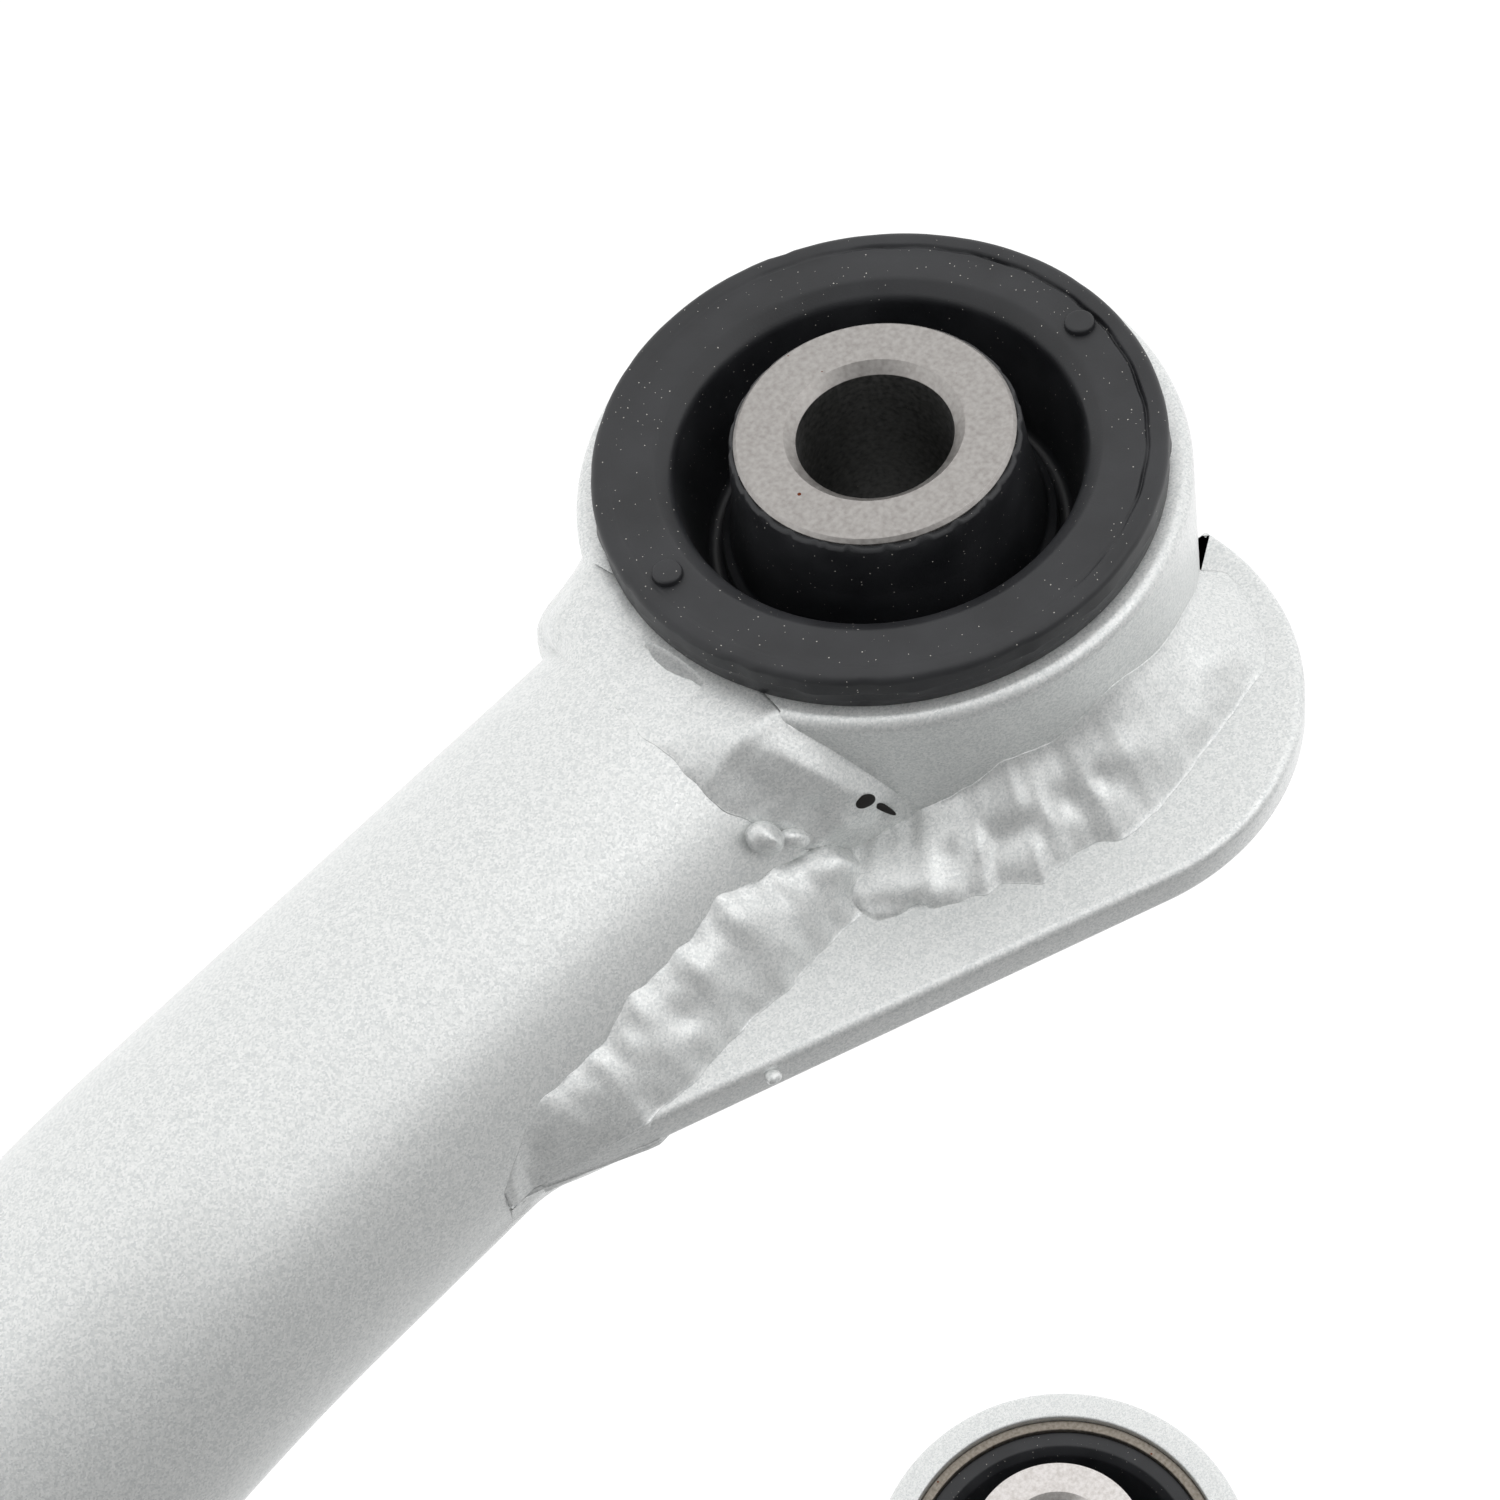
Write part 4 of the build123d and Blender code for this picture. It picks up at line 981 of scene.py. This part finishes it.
    def plate(self) -> None:
        """The gusset: a round end over the eye and a straight edge down to the tube."""
        x, z, r = self.plate_end
        touch, _ = self.plate_edge()
        start = math.atan2(touch[1] - z, touch[0] - x)
        turn = np.linspace(start, math.pi, 90)
        arc = np.stack([x + r * np.cos(turn), z + r * np.sin(turn)], axis=1)
        heel = rounded([tuple(arc[-1]), (x - r, z - 0.5, 1.2), (-20.2, 18.1)], step=0.5)[1:]
        t = np.linspace(0, 1, 70)[:, None]
        edge = np.array(self.plate_tip) * (1 - t) + touch * t
        inner = np.linspace(math.radians(134), math.radians(28), 60)
        under = np.stack([26.6 * np.cos(inner), 26.6 * np.sin(inner)], axis=1)
        outline = np.concatenate([[(self.plate_tip[0], 14.5)], edge, arc[1:], heel, under, [(24.0, 14.5)]])
        flat = slab(outline, self.plate_in, self.plate_out, 0.85)
        grid = np.stack([flat[..., 0], flat[..., 2], flat[..., 1]], axis=-1)
        word = self.end.word
        painted(f"{word}_gusset_plate", self.row(grid), f"{word}_gusset", cap=Cap.FACE)

    def tube_bead(self) -> None:
        """The closed bead where the tube is coped to the eye.

        v runs round the tube from the outer side over the gusset's side. The root is the tube's meeting
        with the eye, x = sqrt(R^2 - z^2); one toe lies along the tube and one round the eye.
        """
        degrees = np.arange(0, 360, 0.75)
        v = np.radians(degrees)
        z, out = self.tube * np.sin(v), self.tube * np.cos(v)
        x = np.sqrt(self.eye_radius**2 - z**2)
        root = np.stack([x, out, z], axis=1)
        wander = waver(v * 20, 4)
        leg = through(
            degrees, (0, 10, 21, 34, 53, 66, 80, 120, 180, 240, 285, 320, 345, 360),
            (5.6, 6.3, 7.0, 8.0, 8.1, 7.2, 5.0, 4.6, 4.6, 5.0, 6.6, 5.4, 5.2, 5.6),
        )
        toe_a = root + np.stack([leg + 0.35 * wander, 0 * x, 0 * x], axis=1)
        normal_a = np.stack([0 * x, np.cos(v), np.sin(v)], axis=1)
        rise = through(
            degrees, (0, 30, 47, 60, 75, 180, 270, 300, 330, 360),
            (3.6, 2.9, 2.7, 2.6, 2.8, 3.2, 3.8, 4.6, 4.4, 3.6),
        )
        big = self.tube + rise
        zb, yb = big * np.sin(v), big * np.cos(v)
        xb = np.sqrt(self.eye_radius**2 - np.minimum(zb**2, 26.5**2))
        over = np.maximum(np.abs(yb) - (self.eye_half - 0.9), 0)
        climb = 1 - over.clip(0, 3.0) / self.eye_radius
        yb = np.clip(yb, -self.eye_half - 0.02, self.eye_half + 0.02)
        toe_b = np.stack([xb * climb, yb, zb * climb], axis=1)
        wall = unit(np.stack([xb, 0 * xb, zb], axis=1))
        rim = np.stack([0 * xb, np.sign(yb), 0 * xb], axis=1)
        share = np.clip(over / 1.2, 0, 1)[:, None]
        normal_b = unit(wall * (1 - share) + rim * share)
        crown = through(
            degrees, (0, 5, 9, 14, 22, 32, 44, 56, 66, 80, 180, 270, 300, 330, 345, 360),
            (0.0, 0.1, 0.35, 0.7, 1.2, 1.7, 2.2, 2.2, 1.6, 0.6, 0.5, 1.4, 2.0, 1.0, 0.1, 0.0),
        )
        stations = (0, 20, 45, 70, 100, 180, 300, 340, 360)
        calm = through(degrees, stations, (0.0, 0.1, 0.2, 0.4, 1.0, 1.0, 0.8, 0.2, 0.0))
        crest = through(degrees, (0, 18, 26, 35, 44, 68, 90, 360), (0.5, 0.5, 0.55, 0.7, 0.8, 0.8, 0.5, 0.5))
        stretch = through(
            degrees, (0, 18, 27, 36, 48, 300, 335, 350, 360), (4.2, 3.6, 1.9, 1.1, 1.0, 1.0, 1.0, 3.0, 4.2)
        )
        ripple = Ripple(pitch=2.6, depth=0.34, seed=6)
        shape = Bead(crown=0.0, hug_a=0.12, hug_b=0.5, across=36, ripple=ripple)
        marks = (
            Mark((29.5, 12.6, 12.4), 3.2, -0.75), Mark((31.5, 15.6, 7.2), 2.0, -0.4),
            Mark((26.5, 9.3, 15.6), 2.0, -0.7),
            Mark((24.8, 7.4, 17.2), 1.3, 0.7), Mark((21.5, 5.6, 18.6), 1.4, -0.9),
        )
        skin = shape.surface(
            root, toe_a, toe_b, normal_a, normal_b, swell=crown, calm=calm, crest=crest, stretch=stretch,
            marks=marks,
        )
        word = self.end.word
        painted(f"{word}_eye_bead", self.row(skin), f"{word}_eye_weld", loop=True)

    def plate_beads(self) -> None:
        """The gusset's four beads: round the eye and along the tube, on both faces."""
        word = self.end.word
        touch, slope = self.plate_edge()
        for face, away, label in ((self.plate_out, 1.0, "outer"), (self.plate_in, -1.0, "inner")):
            seed = 11 if away > 0 else 31
            # round the eye
            turn = np.radians(np.arange(31.0, 130.0, 0.5))
            degrees = np.degrees(turn)
            ray = np.stack([np.cos(turn), 0 * turn, np.sin(turn)], axis=1)
            up = np.array([0.0, away, 0.0])
            taper = through(degrees, (31, 36, 122, 130), (0.9, 1.0, 1.0, 0.5))
            leg = taper * through(degrees, (31, 38, 45, 52, 62, 70, 78, 90, 104, 112, 122, 130),
                                  (8.4, 8.4, 7.2, 5.8, 5.2, 4.2, 4.4, 3.7, 4.0, 5.0, 5.5, 5.2))
            rise = taper * through(degrees, (31, 41, 50, 62, 74, 86, 101, 115, 130),
                                   (3.2, 2.4, 3.0, 4.7, 4.2, 4.9, 3.9, 3.7, 1.6))
            wander = waver(turn * 30, seed, (6.5, 3.7, 2.1))
            wander = wander * through(degrees, (31, 66, 82, 130), (1.0, 0.9, 0.35, 0.3))
            root = ray * self.eye_radius + up * (away * face)
            toe_a = ray * (self.eye_radius + leg + 0.7 * wander)[:, None] + up * (away * face)
            toe_b = root + up * (rise + 0.3 * wander)[:, None]
            rough = through(degrees, (31, 40, 60, 72, 85, 130), (0.7, 0.8, 0.6, 0.3, 0.12, 0.1))
            stations = (31, 35, 40, 46, 52, 62, 80, 130)
            swell = through(degrees, stations, (0.6, 1.6, 2.2, 1.6, 0.5, 0.3, 0.1, 0.0))
            shape = Bead(crown=0.75, hug_a=0.15, hug_b=0.35, uneven=0.035, lip_a=0.02, lip_b=0.05, across=40,
                         ripple=Ripple(pitch=3.1, depth=0.13, bow=1.8, uneven=0.8, seed=seed))
            marks = [
                Mark((x_at, away * (face * away + 2.0 + up_by), z_at), wide, 0.72 * tall)
                for x_at, up_by, z_at, wide, tall in self.thumbprints
            ]
            level = np.broadcast_to(up, root.shape)
            skin = shape.surface(root, toe_a, toe_b, level, ray, swell=swell, calm=rough, marks=marks)
            stands_for = (f"{word}_gusset_welds",) if away > 0 else ()
            painted(f"{word}_{label}_eye_fillet", self.row(skin), *stands_for)
            # along the tube
            x = np.arange(25.6, 69.6, 0.25)
            wander = waver(x, seed + 2, (11.5, 6.1, 2.9))
            height = math.sqrt(self.tube**2 - face**2)
            root = np.stack([x, 0 * x + face, 0 * x + height], axis=1)
            fade = through(x, (25.5, 28, 31, 58, 63, 66.5, 69.5), (0.3, 0.75, 1.0, 1.0, 0.92, 0.65, 0.08))
            brink = touch[1] + slope * (x - touch[0])
            upper = np.minimum(self.tube + 4.6 + 0.3 * wander, np.maximum(brink + 0.1, height + 0.4))
            past = np.clip((x - 57.0) / 9.0, 0, 1)
            toe_a = np.stack([x, face - away * 1.6 * past, upper], axis=1)
            normal_a = unit(np.stack([0 * x, away * (1 - 0.6 * past), 0.8 * past], axis=1))
            angle = np.arcsin(height / self.tube) - fade * (5.9 + 0.6 * wander) / self.tube
            toe_b = np.stack([x, away * self.tube * np.cos(angle), self.tube * np.sin(angle)], axis=1)
            normal_b = np.stack([0 * x, away * np.cos(angle), np.sin(angle)], axis=1)
            shape = Bead(crown=0.0, hug_a=0.2, hug_b=0.1, uneven=0.06, lip_a=0.02, lip_b=0.02, across=40,
                         ripple=Ripple(pitch=5.2, depth=0.1, bow=2.6, uneven=0.8, seed=seed + 3))
            marks = (
                Mark((28.0, away * (face * away + 4.2), 18.2), 3.0, 1.3),
                Mark((27.5, away * (face * away + 1.2), 21.5), 2.0, -0.9),
                Mark((40.5, away * (face * away + 3.4), 19.0), 2.0, -0.5),
                Mark((48.0, away * (face * away + 3.0), 18.6), 1.8, -0.5),
                Mark((44.4, away * (face * away + 4.4), 17.8), 1.8, 0.4),
                Mark((65.5, away * (face * away + 2.2), 17.4), 1.6, -0.6),
            )
            skin = shape.surface(
                root, toe_a, toe_b, normal_a, normal_b, swell=0.85 * fade, calm=fade, marks=marks
            )
            painted(f"{word}_{label}_tube_fillet", self.row(skin))

    def spatter(self) -> None:
        """A drop of spatter on the tube, and black pieces of painted shade for the unfilled pit and the crack
        where the beads meet by the eye.
        """
        word = self.end.word
        drop = blob((32.6, 10.2, 15.2), (0.0, 0.53, 0.85), (-0.75, -0.55, 0.35), (1.65, 1.5, 1.5), 3)
        tail = blob((30.4, 8.5, 16.3), (0.0, 0.45, 0.9), (-0.7, -0.6, 0.3), (1.9, 0.85, 0.8), 5)
        # the pit and the crack are black blobs of painted shade, standing for the shade in the hollows
        pit = blob((23.6, 8.1, 18.35), (0.32, 0.05, 0.94), (-0.3, -0.95, 0.1), (1.15, 0.95, 0.25), 7)
        crack = blob((22.4, 6.6, 18.85), (0.4, 0.2, 0.9), (-0.5, -0.8, 0.25), (2.2, 0.3, 0.28), 9)
        nib = blob((46.0, -0.4, 26.7), (0.0, 0.0, 1.0), (1.0, 0.0, 0.0), (0.7, 0.6, 0.7), 11)
        for label, grid, finish in (
            ("spatter_drop", drop, ENAMEL), ("spatter_tail", tail, ENAMEL), ("weld_pit", pit, PIT_SHADE),
            ("weld_crack_shade", crack, PIT_SHADE), ("spatter_nib", nib, ENAMEL),
        ):
            grid_piece(f"{word}_{label}", self.row(grid), finish, "arm", slot="silver_paint")


@dataclass
class OuterEnd:
    """The cup with its gussets, welds and ball joint."""

    centre: float = 232.0
    cup: float = 28.5
    housing: float = 22.5
    cup_half: float = 13.0
    tube: float = 17.45
    reach: float = 195.05
    bend: float = 110.0
    bend_centre: tuple[float, float] = (85.05, 17.0)
    plate_half: float = 2.0
    leg: float = 4.3
    thread_radius: float = 6.0
    thread_pitch: float = 1.25
    thread_depth: float = 0.75
    boot_split: float = 24.5

    def stand(self, grid: np.ndarray) -> np.ndarray:
        """Turns a lathed grid's axis upright, on the stud's axis."""
        return np.stack([grid[..., 0] + self.centre, grid[..., 2], grid[..., 1]], axis=-1)

    def turned(self, name: str, corners: Sequence[tuple], finish: Finish, body: str = "arm",
               step: float = 0.7, **more: object) -> None:
        """Builds one ring-shaped piece from the corners of its closed profile."""
        grid = self.stand(lathe(rounded(corners, closed=True, step=step)))
        grid_piece(name, grid, finish, body, loop=True, **more)

    def build(self) -> None:
        """Builds the whole outer end."""
        self.rings()
        self.stud()
        self.boot()
        for end in End:
            self.gusset(end)
        self.cup_bead()
        self.small_parts()

    def rings(self) -> None:
        """The cup and the housing pressed into it."""
        r, h = self.housing, self.cup_half
        self.turned(
            "cup_ring",
            [(r, -h, 0.4), (self.cup, -h, 1.2), (self.cup, h, 1.2), (r, h, 0.4)],
            ENAMEL, replaces=["ball_joint_cup"], slot="silver_paint",
        )
        self.turned(
            "joint_housing",
            [
                (15.35, -20.5), (13.35, -20.5, 0.2), (13.35, -22, 0.2), (r - 1, -22, 0.5), (r, -21, 0.3),
                (r, -17, 0.4), (r + 3.5, -17, 0.5), (r + 3.5, -13, 0.3), (r, -13), (r, 13), (r - 1.2, 13),
                (r - 1.2, 14.8), (r, 14.8), (r, 15.7), (r - 1.2, 15.7), (r - 1.2, 18.8), (r, 18.8),
                (r, 20, 0.4), (18.0, 20, 0.3), (12.6, 11.0), (14.9, 4.0, 3.0), (15.35, 0, 2.0),
            ],
            FORGED, replaces=["ball_joint_housing"], slot="forged_steel",
        )

    def stud(self) -> None:
        """The ball stud, its thread cut as a helix.

        On the threaded rows the radius is the major radius less the thread's depth times a triangle
        wave of height / pitch - turn.
        """
        flat, ball = 10.75, 12.5
        ball_angle = np.linspace(math.acos(-flat / ball), math.asin(7.0 / ball), 60)
        sphere = np.stack([ball * np.sin(ball_angle), ball * np.cos(ball_angle)], axis=1)
        neck = rounded(
            [
                tuple(sphere[-1]), (7.0, 26.0, 3.0), (9.0, 30.0, 0.8), (9.0, 35.0, 0.6),
                (7.75, 55.0, 0.3), (6.0, 55.0, 0.2), (6.0, 56.2),
            ],
            step=0.8,
        )
        rows = np.arange(56.3, 73.0, 0.16)
        thread = np.stack([np.full_like(rows, self.thread_radius), rows], axis=1)
        end = rounded([(6.0, 73.05), (6.0, 73.1, 0.1), (5.1, 74.0, 0.2), (0.1, 74.0)], step=0.5)
        profile = np.concatenate([[(0.1, -flat)], sphere, neck[1:], thread, end])
        grid = self.stand(lathe(profile, 144))
        height = grid[..., 2]
        turn = np.arctan2(grid[..., 1], grid[..., 0] - self.centre) / TAU
        wave = np.abs((height / self.thread_pitch - turn) % 1 - 0.5) * 2
        fade = np.clip((height - 56.2) / 1.2, 0, 1) * np.clip((73.2 - height) / 0.8, 0, 1)
        scale = 1 - self.thread_depth * wave * fade / self.thread_radius
        grid[..., 0] = self.centre + (grid[..., 0] - self.centre) * scale
        grid[..., 1] *= scale
        grid_piece("stud_forging", grid, GROUND, "stud", replaces=["ball_stud"], slot="bare_steel")

    def boot(self) -> None:
        """The dust boot, in two halves that meet at the split height.

        Its skin is a closed profile, out along the outside and back along the inside.
        """
        split, middle = self.boot_split, self.centre * MM
        r, land = self.housing, 9.0
        outside = [(r + 0.1, 15.8, 0.2), (r + 1.6, 15.8, 0.4), (r + 1.6, 18.6, 0.5), (r + 0.5, 20.4, 0.8),
                   (r - 1.9, split)]
        inside = [(r - 3.3, split), (r - 0.7, 20.2, 0.6), (r + 0.2, 18.9)]
        lower = self.stand(lathe(rounded(outside + inside, closed=True, step=0.5), 144))
        skirt = grid_piece("boot_skirt", lower, BOOT_RUBBER, None, loop=True, replaces=["dust_boot"],
                           slot="boot_rubber")
        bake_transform(skirt)
        outside = [(r - 1.9, split), (r - 3.4, 26.3, 1.2), (land + 5.4, 27.6, 1.5), (land + 2.4, 30.2, 1.0),
                   (land + 2.4, 34.5, 0.6), (land + 0.05, 34.5, 0.2)]
        inside = [(land + 0.05, 30.0, 0.4), (land + 3.4, 26.9, 1.0), (r - 4.4, 25.4, 0.8), (r - 3.3, split)]
        upper = self.stand(lathe(rounded(outside + inside, closed=True, step=0.5), 144))
        neck = grid_piece("boot_neck", upper, BOOT_RUBBER, None, loop=True, slot="boot_rubber")
        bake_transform(neck)

    def gusset(self, end: End) -> None:
        """One flat gusset between the hoop's bend and the cup, with its beads above and below."""
        word, side = end.word, end.value
        bx, by = self.bend_centre
        outer = self.bend + self.tube
        near = math.radians(75.0)
        on_cup = np.array([self.centre + self.cup * math.cos(near), self.cup * math.sin(near)])
        away = on_cup - np.array([bx, by])
        far = math.atan2(away[1], away[0]) + math.acos(outer / np.hypot(*away)) - math.radians(5.0)
        bend_turn = np.linspace(far, -0.1, 80)
        cup_turn = np.linspace(math.radians(165), near, 70)
        on_tube = np.array([bx + outer * math.cos(far), by + outer * math.sin(far)])
        t = np.linspace(0, 1, 60)[:-1, None]
        free = on_cup * (1 - t) + on_tube * t
        inner = np.stack([bx + (outer - 3) * np.cos(bend_turn), by + (outer - 3) * np.sin(bend_turn)], axis=1)
        wall = self.cup - 2
        round_cup = np.stack([self.centre + wall * np.cos(cup_turn), wall * np.sin(cup_turn)], axis=1)
        outline = np.concatenate([free, inner, round_cup])
        flat = slab(outline, -self.plate_half, self.plate_half, 0.7)
        flat[..., 1] *= side
        painted(f"{word}_apex_plate", flat, f"{word}_apex_gusset", cap=Cap.FACE)
        for up, label in ((1.0, "upper"), (-1.0, "lower")):
            seed = (41 if up > 0 else 51) + side
            lift = np.array([0.0, 0.0, up])
            turn = np.linspace(far + 0.008, 0.02, 300)
            ray = np.stack([np.cos(turn), np.sin(turn), 0 * turn], axis=1)
            base = np.array([bx, by, 0.0])
            wander = waver(turn * outer, seed)
            fade = through(turn, (0.02, far - 0.06, far + 0.01), (1.0, 1.0, 0.55))
            start = math.asin(self.plate_half / self.tube)
            tip = start + fade * (self.leg + 0.3 * wander) / self.tube
            root = base + ray * (self.bend + self.tube * math.cos(start)) + lift * self.plate_half
            toe_a = root + ray * (fade * (self.leg + 0.3 * wander))[:, None]
            lean = np.stack([np.cos(tip), np.sin(tip)], axis=1)
            normal_b = ray * lean[:, :1] + lift * lean[:, 1:]
            toe_b = base + ray * (self.bend + self.tube * lean[:, :1]) + lift * (self.tube * lean[:, 1:])
            shape = Bead(crown=0.6, across=18, ripple=Ripple(pitch=2.4, depth=0.26, seed=seed))
            skin = shape.surface(root, toe_a, toe_b, np.broadcast_to(lift, root.shape), normal_b, calm=fade)
            skin[..., 1] *= side
            stands_for = (f"{word}_apex_welds",) if up > 0 else ()
            painted(f"{word}_{label}_bend_fillet", skin, *stands_for)
            turn = np.linspace(near - 0.01, math.radians(137), 150)
            ray = np.stack([np.cos(turn), np.sin(turn), 0 * turn], axis=1)
            wander = waver(turn * self.cup, seed + 3)
            fade = through(turn, (near - 0.01, near + 0.12, 2.4), (0.5, 1.0, 1.0))
            root = np.array([self.centre, 0.0, 0.0]) + ray * self.cup + lift * self.plate_half
            toe_a = root + ray * (fade * (self.leg + 0.3 * wander))[:, None]
            toe_b = root + lift * (fade * (self.leg + 0.3 * wander))[:, None]
            skin = shape.surface(root, toe_a, toe_b, np.broadcast_to(lift, root.shape), ray, calm=fade)
            skin[..., 1] *= side
            painted(f"{word}_{label}_cup_fillet", skin)

    def cup_bead(self) -> None:
        """The closed bead where the hoop's crown is coped to the cup.

        z = 15.3 cos t, x lies on the crown at that height, and y on the cup's circle. One toe is the same
        curve on a larger circle, the other on a larger tube, which climbs over the cup's rim.
        """
        t = np.arange(0, 360, 0.9) * math.pi / 180
        sign = np.where(np.sin(t) >= 0, 1.0, -1.0)

        def ring(height: np.ndarray, tube: float, circle: np.ndarray | float) -> np.ndarray:
            """Points where a tube about the crown meets a circle about the stud, at given heights."""
            x = self.reach + np.sqrt(np.maximum(tube**2 - height**2, 0.01))
            y = sign * np.sqrt(np.maximum(np.square(circle) - (x - self.centre) ** 2, 0.0))
            return np.stack([x, y, height], axis=1)

        wander = waver(t * 20, 61)
        root = ring(15.25 * np.cos(t), self.tube, self.cup)
        toe_a = ring(17.05 * np.cos(t), self.tube, self.cup + self.leg + 0.6)
        wall = self.reach + np.sqrt(np.maximum(self.tube**2 - toe_a[:, 2] ** 2, 0))
        toe_a[:, 0] = np.minimum(toe_a[:, 0], wall)
        normal_a = unit(np.stack([toe_a[:, 0] - self.reach, 0 * t, toe_a[:, 2]], axis=1))
        raw = 20.0 * np.cos(t)
        high = np.clip(raw, -self.cup_half - 0.02, self.cup_half + 0.02)
        spread = ring(high * 0.98, self.tube + 3.6, self.cup)
        ray = unit(np.stack([spread[:, 0] - self.centre, spread[:, 1], 0 * t], axis=1))
        over = np.clip(np.abs(raw) - self.cup_half, 0, 2.4)[:, None]
        toe_b = np.array([self.centre, 0, 0]) + ray * (self.cup - over)
        toe_b = toe_b + np.array([0, 0, 1.0]) * high[:, None]
        share = np.clip(over / 1.2, 0, 1)
        normal_b = unit(ray * (1 - share) + np.array([0, 0, 1.0]) * np.sign(high)[:, None] * share)
        shape = Bead(crown=0.5, across=20, ripple=Ripple(pitch=2.5, depth=0.28, seed=62))
        skin = shape.surface(root, toe_a, toe_b, normal_a, normal_b, swell=0.2 * wander)
        painted("cup_bead", skin, "cup_weld", loop=True)

    def small_parts(self) -> None:
        """Dresses the small turned, stamped and pressed parts, whose shapes are right as packed."""
        dressed = {
            "bearing_seat": ACETAL, "castle_nut": ZINC, "cotter_pin": ZINC, "cover_plate": ZINC,
            "grease_nipple": ZINC, "preload_spring": SPRING, "snap_ring": SPRING, "boot_clamp_ring": SPRING,
            "boot_neck_ring": SPRING,
        }
        for name, finish in dressed.items():
            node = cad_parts[name]
            node.data.materials.clear()
            node.data.materials.append(finish.material())
            log.info("%s: dressed in %s", name, finish.title)


# ---- the studio ------------------------------------------------------------------------
@dataclass
class Studio:
    """A white sweep, soft lights and the camera. The sweep's half width is in metres."""

    floor_height: float = -28.6
    floor_half: float = 6.0
    camera_at: tuple[float, float, float] = (137.4, -400.1, 161.2)
    camera_right: tuple[float, float, float] = (-0.682, 0.1328, 0.7191)
    camera_forward: tuple[float, float, float] = (-0.3417, 0.8116, -0.474)
    lens: float = 88.2
    sensor: float = 36.0
    dark_side: tuple[float, float, float] = (0.68, 0.1, 0.73)

    def build(self) -> None:
        """Builds the floor, the surroundings, the lights and the camera."""
        self.floor()
        self.surroundings()
        self.light("side_softbox", (-290, -740, 560), (10, -127, 10), 520, 0.8)
        self.light("low_softbox", (-330, -860, -10), (10, -127, 10), 420, 0.2)
        self.camera()

    def floor(self) -> None:
        """A white floor that glows enough to stay white under the part."""
        half = self.floor_half
        mesh = bpy.data.meshes.new("sweep")
        z = self.floor_height * MM
        corners = [(-half, -half, z), (half, -half, z), (half, half, z), (-half, half, z)]
        mesh.from_pydata(corners, [], [(0, 1, 2, 3)])
        made = bpy.data.materials.new("white_paper_sweep")
        made.use_nodes = True
        shader = made.node_tree.nodes["Principled BSDF"]
        paper = {"Base Color": grey(0.12), "Roughness": 0.9, "Emission Color": grey(1.0)}
        for socket, value in {**paper, "Emission Strength": 1.0}.items():
            shader.inputs[socket].default_value = value
        mesh.materials.append(made)
        sweep = bpy.data.objects.new("sweep", mesh)
        bpy.context.scene.collection.objects.link(sweep)

    def surroundings(self) -> None:
        """A white studio: brightest on the camera's side, greyer overhead and behind."""
        world = bpy.data.worlds.new("studio")
        world.use_nodes = True
        tree = world.node_tree
        tree.nodes.clear()
        direction = add_node(tree, "ShaderNodeTexCoord").outputs["Generated"]
        pair = {0: direction, 1: self.dark_side}
        towards = add_node(tree, "ShaderNodeVectorMath", pair, operation="DOT_PRODUCT")
        shade = add_node(tree, "ShaderNodeMapRange", {0: towards.outputs["Value"], 1: -1.0, 2: 1.0})
        greys = ((0.0, 1.0), (0.42, 1.2), (0.5, 1.0), (0.6, 0.66), (0.75, 0.48), (0.9, 0.34), (1.0, 0.31))
        stops = [(at, grey(value)) for at, value in greys]
        colour = add_node(tree, "ShaderNodeValToRGB", {0: shade.outputs[0]}, stops)
        glow = add_node(tree, "ShaderNodeBackground", {"Color": colour.outputs[0], "Strength": 1.0})
        add_node(tree, "ShaderNodeOutputWorld", {"Surface": glow.outputs[0]})
        bpy.context.scene.world = world

    def light(self, name: str, at: Sequence[float], aim: Sequence[float], size: float, power: float) -> None:
        """Adds a square softbox.

        Args:
            name: Its name.
            at: Where it stands, in millimetres.
            aim: The point that it faces.
            size: Its side, in millimetres.
            power: Its power in watts.
        """
        lamp = bpy.data.lights.new(name, "AREA")
        lamp.shape = "SQUARE"
        lamp.size = size * MM
        lamp.energy = power
        holder = bpy.data.objects.new(name, lamp)
        place = Vector(at) * MM
        turn = (Vector(aim) * MM - place).to_track_quat("-Z", "Y").to_matrix().to_4x4()
        holder.matrix_world = Matrix.Translation(place) @ turn
        bpy.context.scene.collection.objects.link(holder)

    def camera(self) -> None:
        """Adds the camera, from its right and forward directions."""
        right = Vector(self.camera_right).normalized()
        forward = Vector(self.camera_forward).normalized()
        up = right.cross(forward).normalized()
        forward = up.cross(right).normalized()
        turn = Matrix((right, up, -forward)).transposed().to_4x4()
        data = bpy.data.cameras.new("camera")
        data.sensor_width = self.sensor
        data.lens = self.lens
        data.clip_start = 0.01
        eye = bpy.data.objects.new("camera", data)
        eye.matrix_world = Matrix.Translation(Vector(self.camera_at) * MM) @ turn
        bpy.context.scene.collection.objects.link(eye)
        bpy.context.scene.camera = eye


def main() -> None:
    """Builds the studio and the arm."""
    bpy.context.scene.view_settings.view_transform = "Standard"
    Studio().build()
    Hoop().build()
    for end in End:
        PivotEnd(end).build()
    OuterEnd().build()
    bpy.context.view_layer.update()


if __name__ == "__main__":
    main()
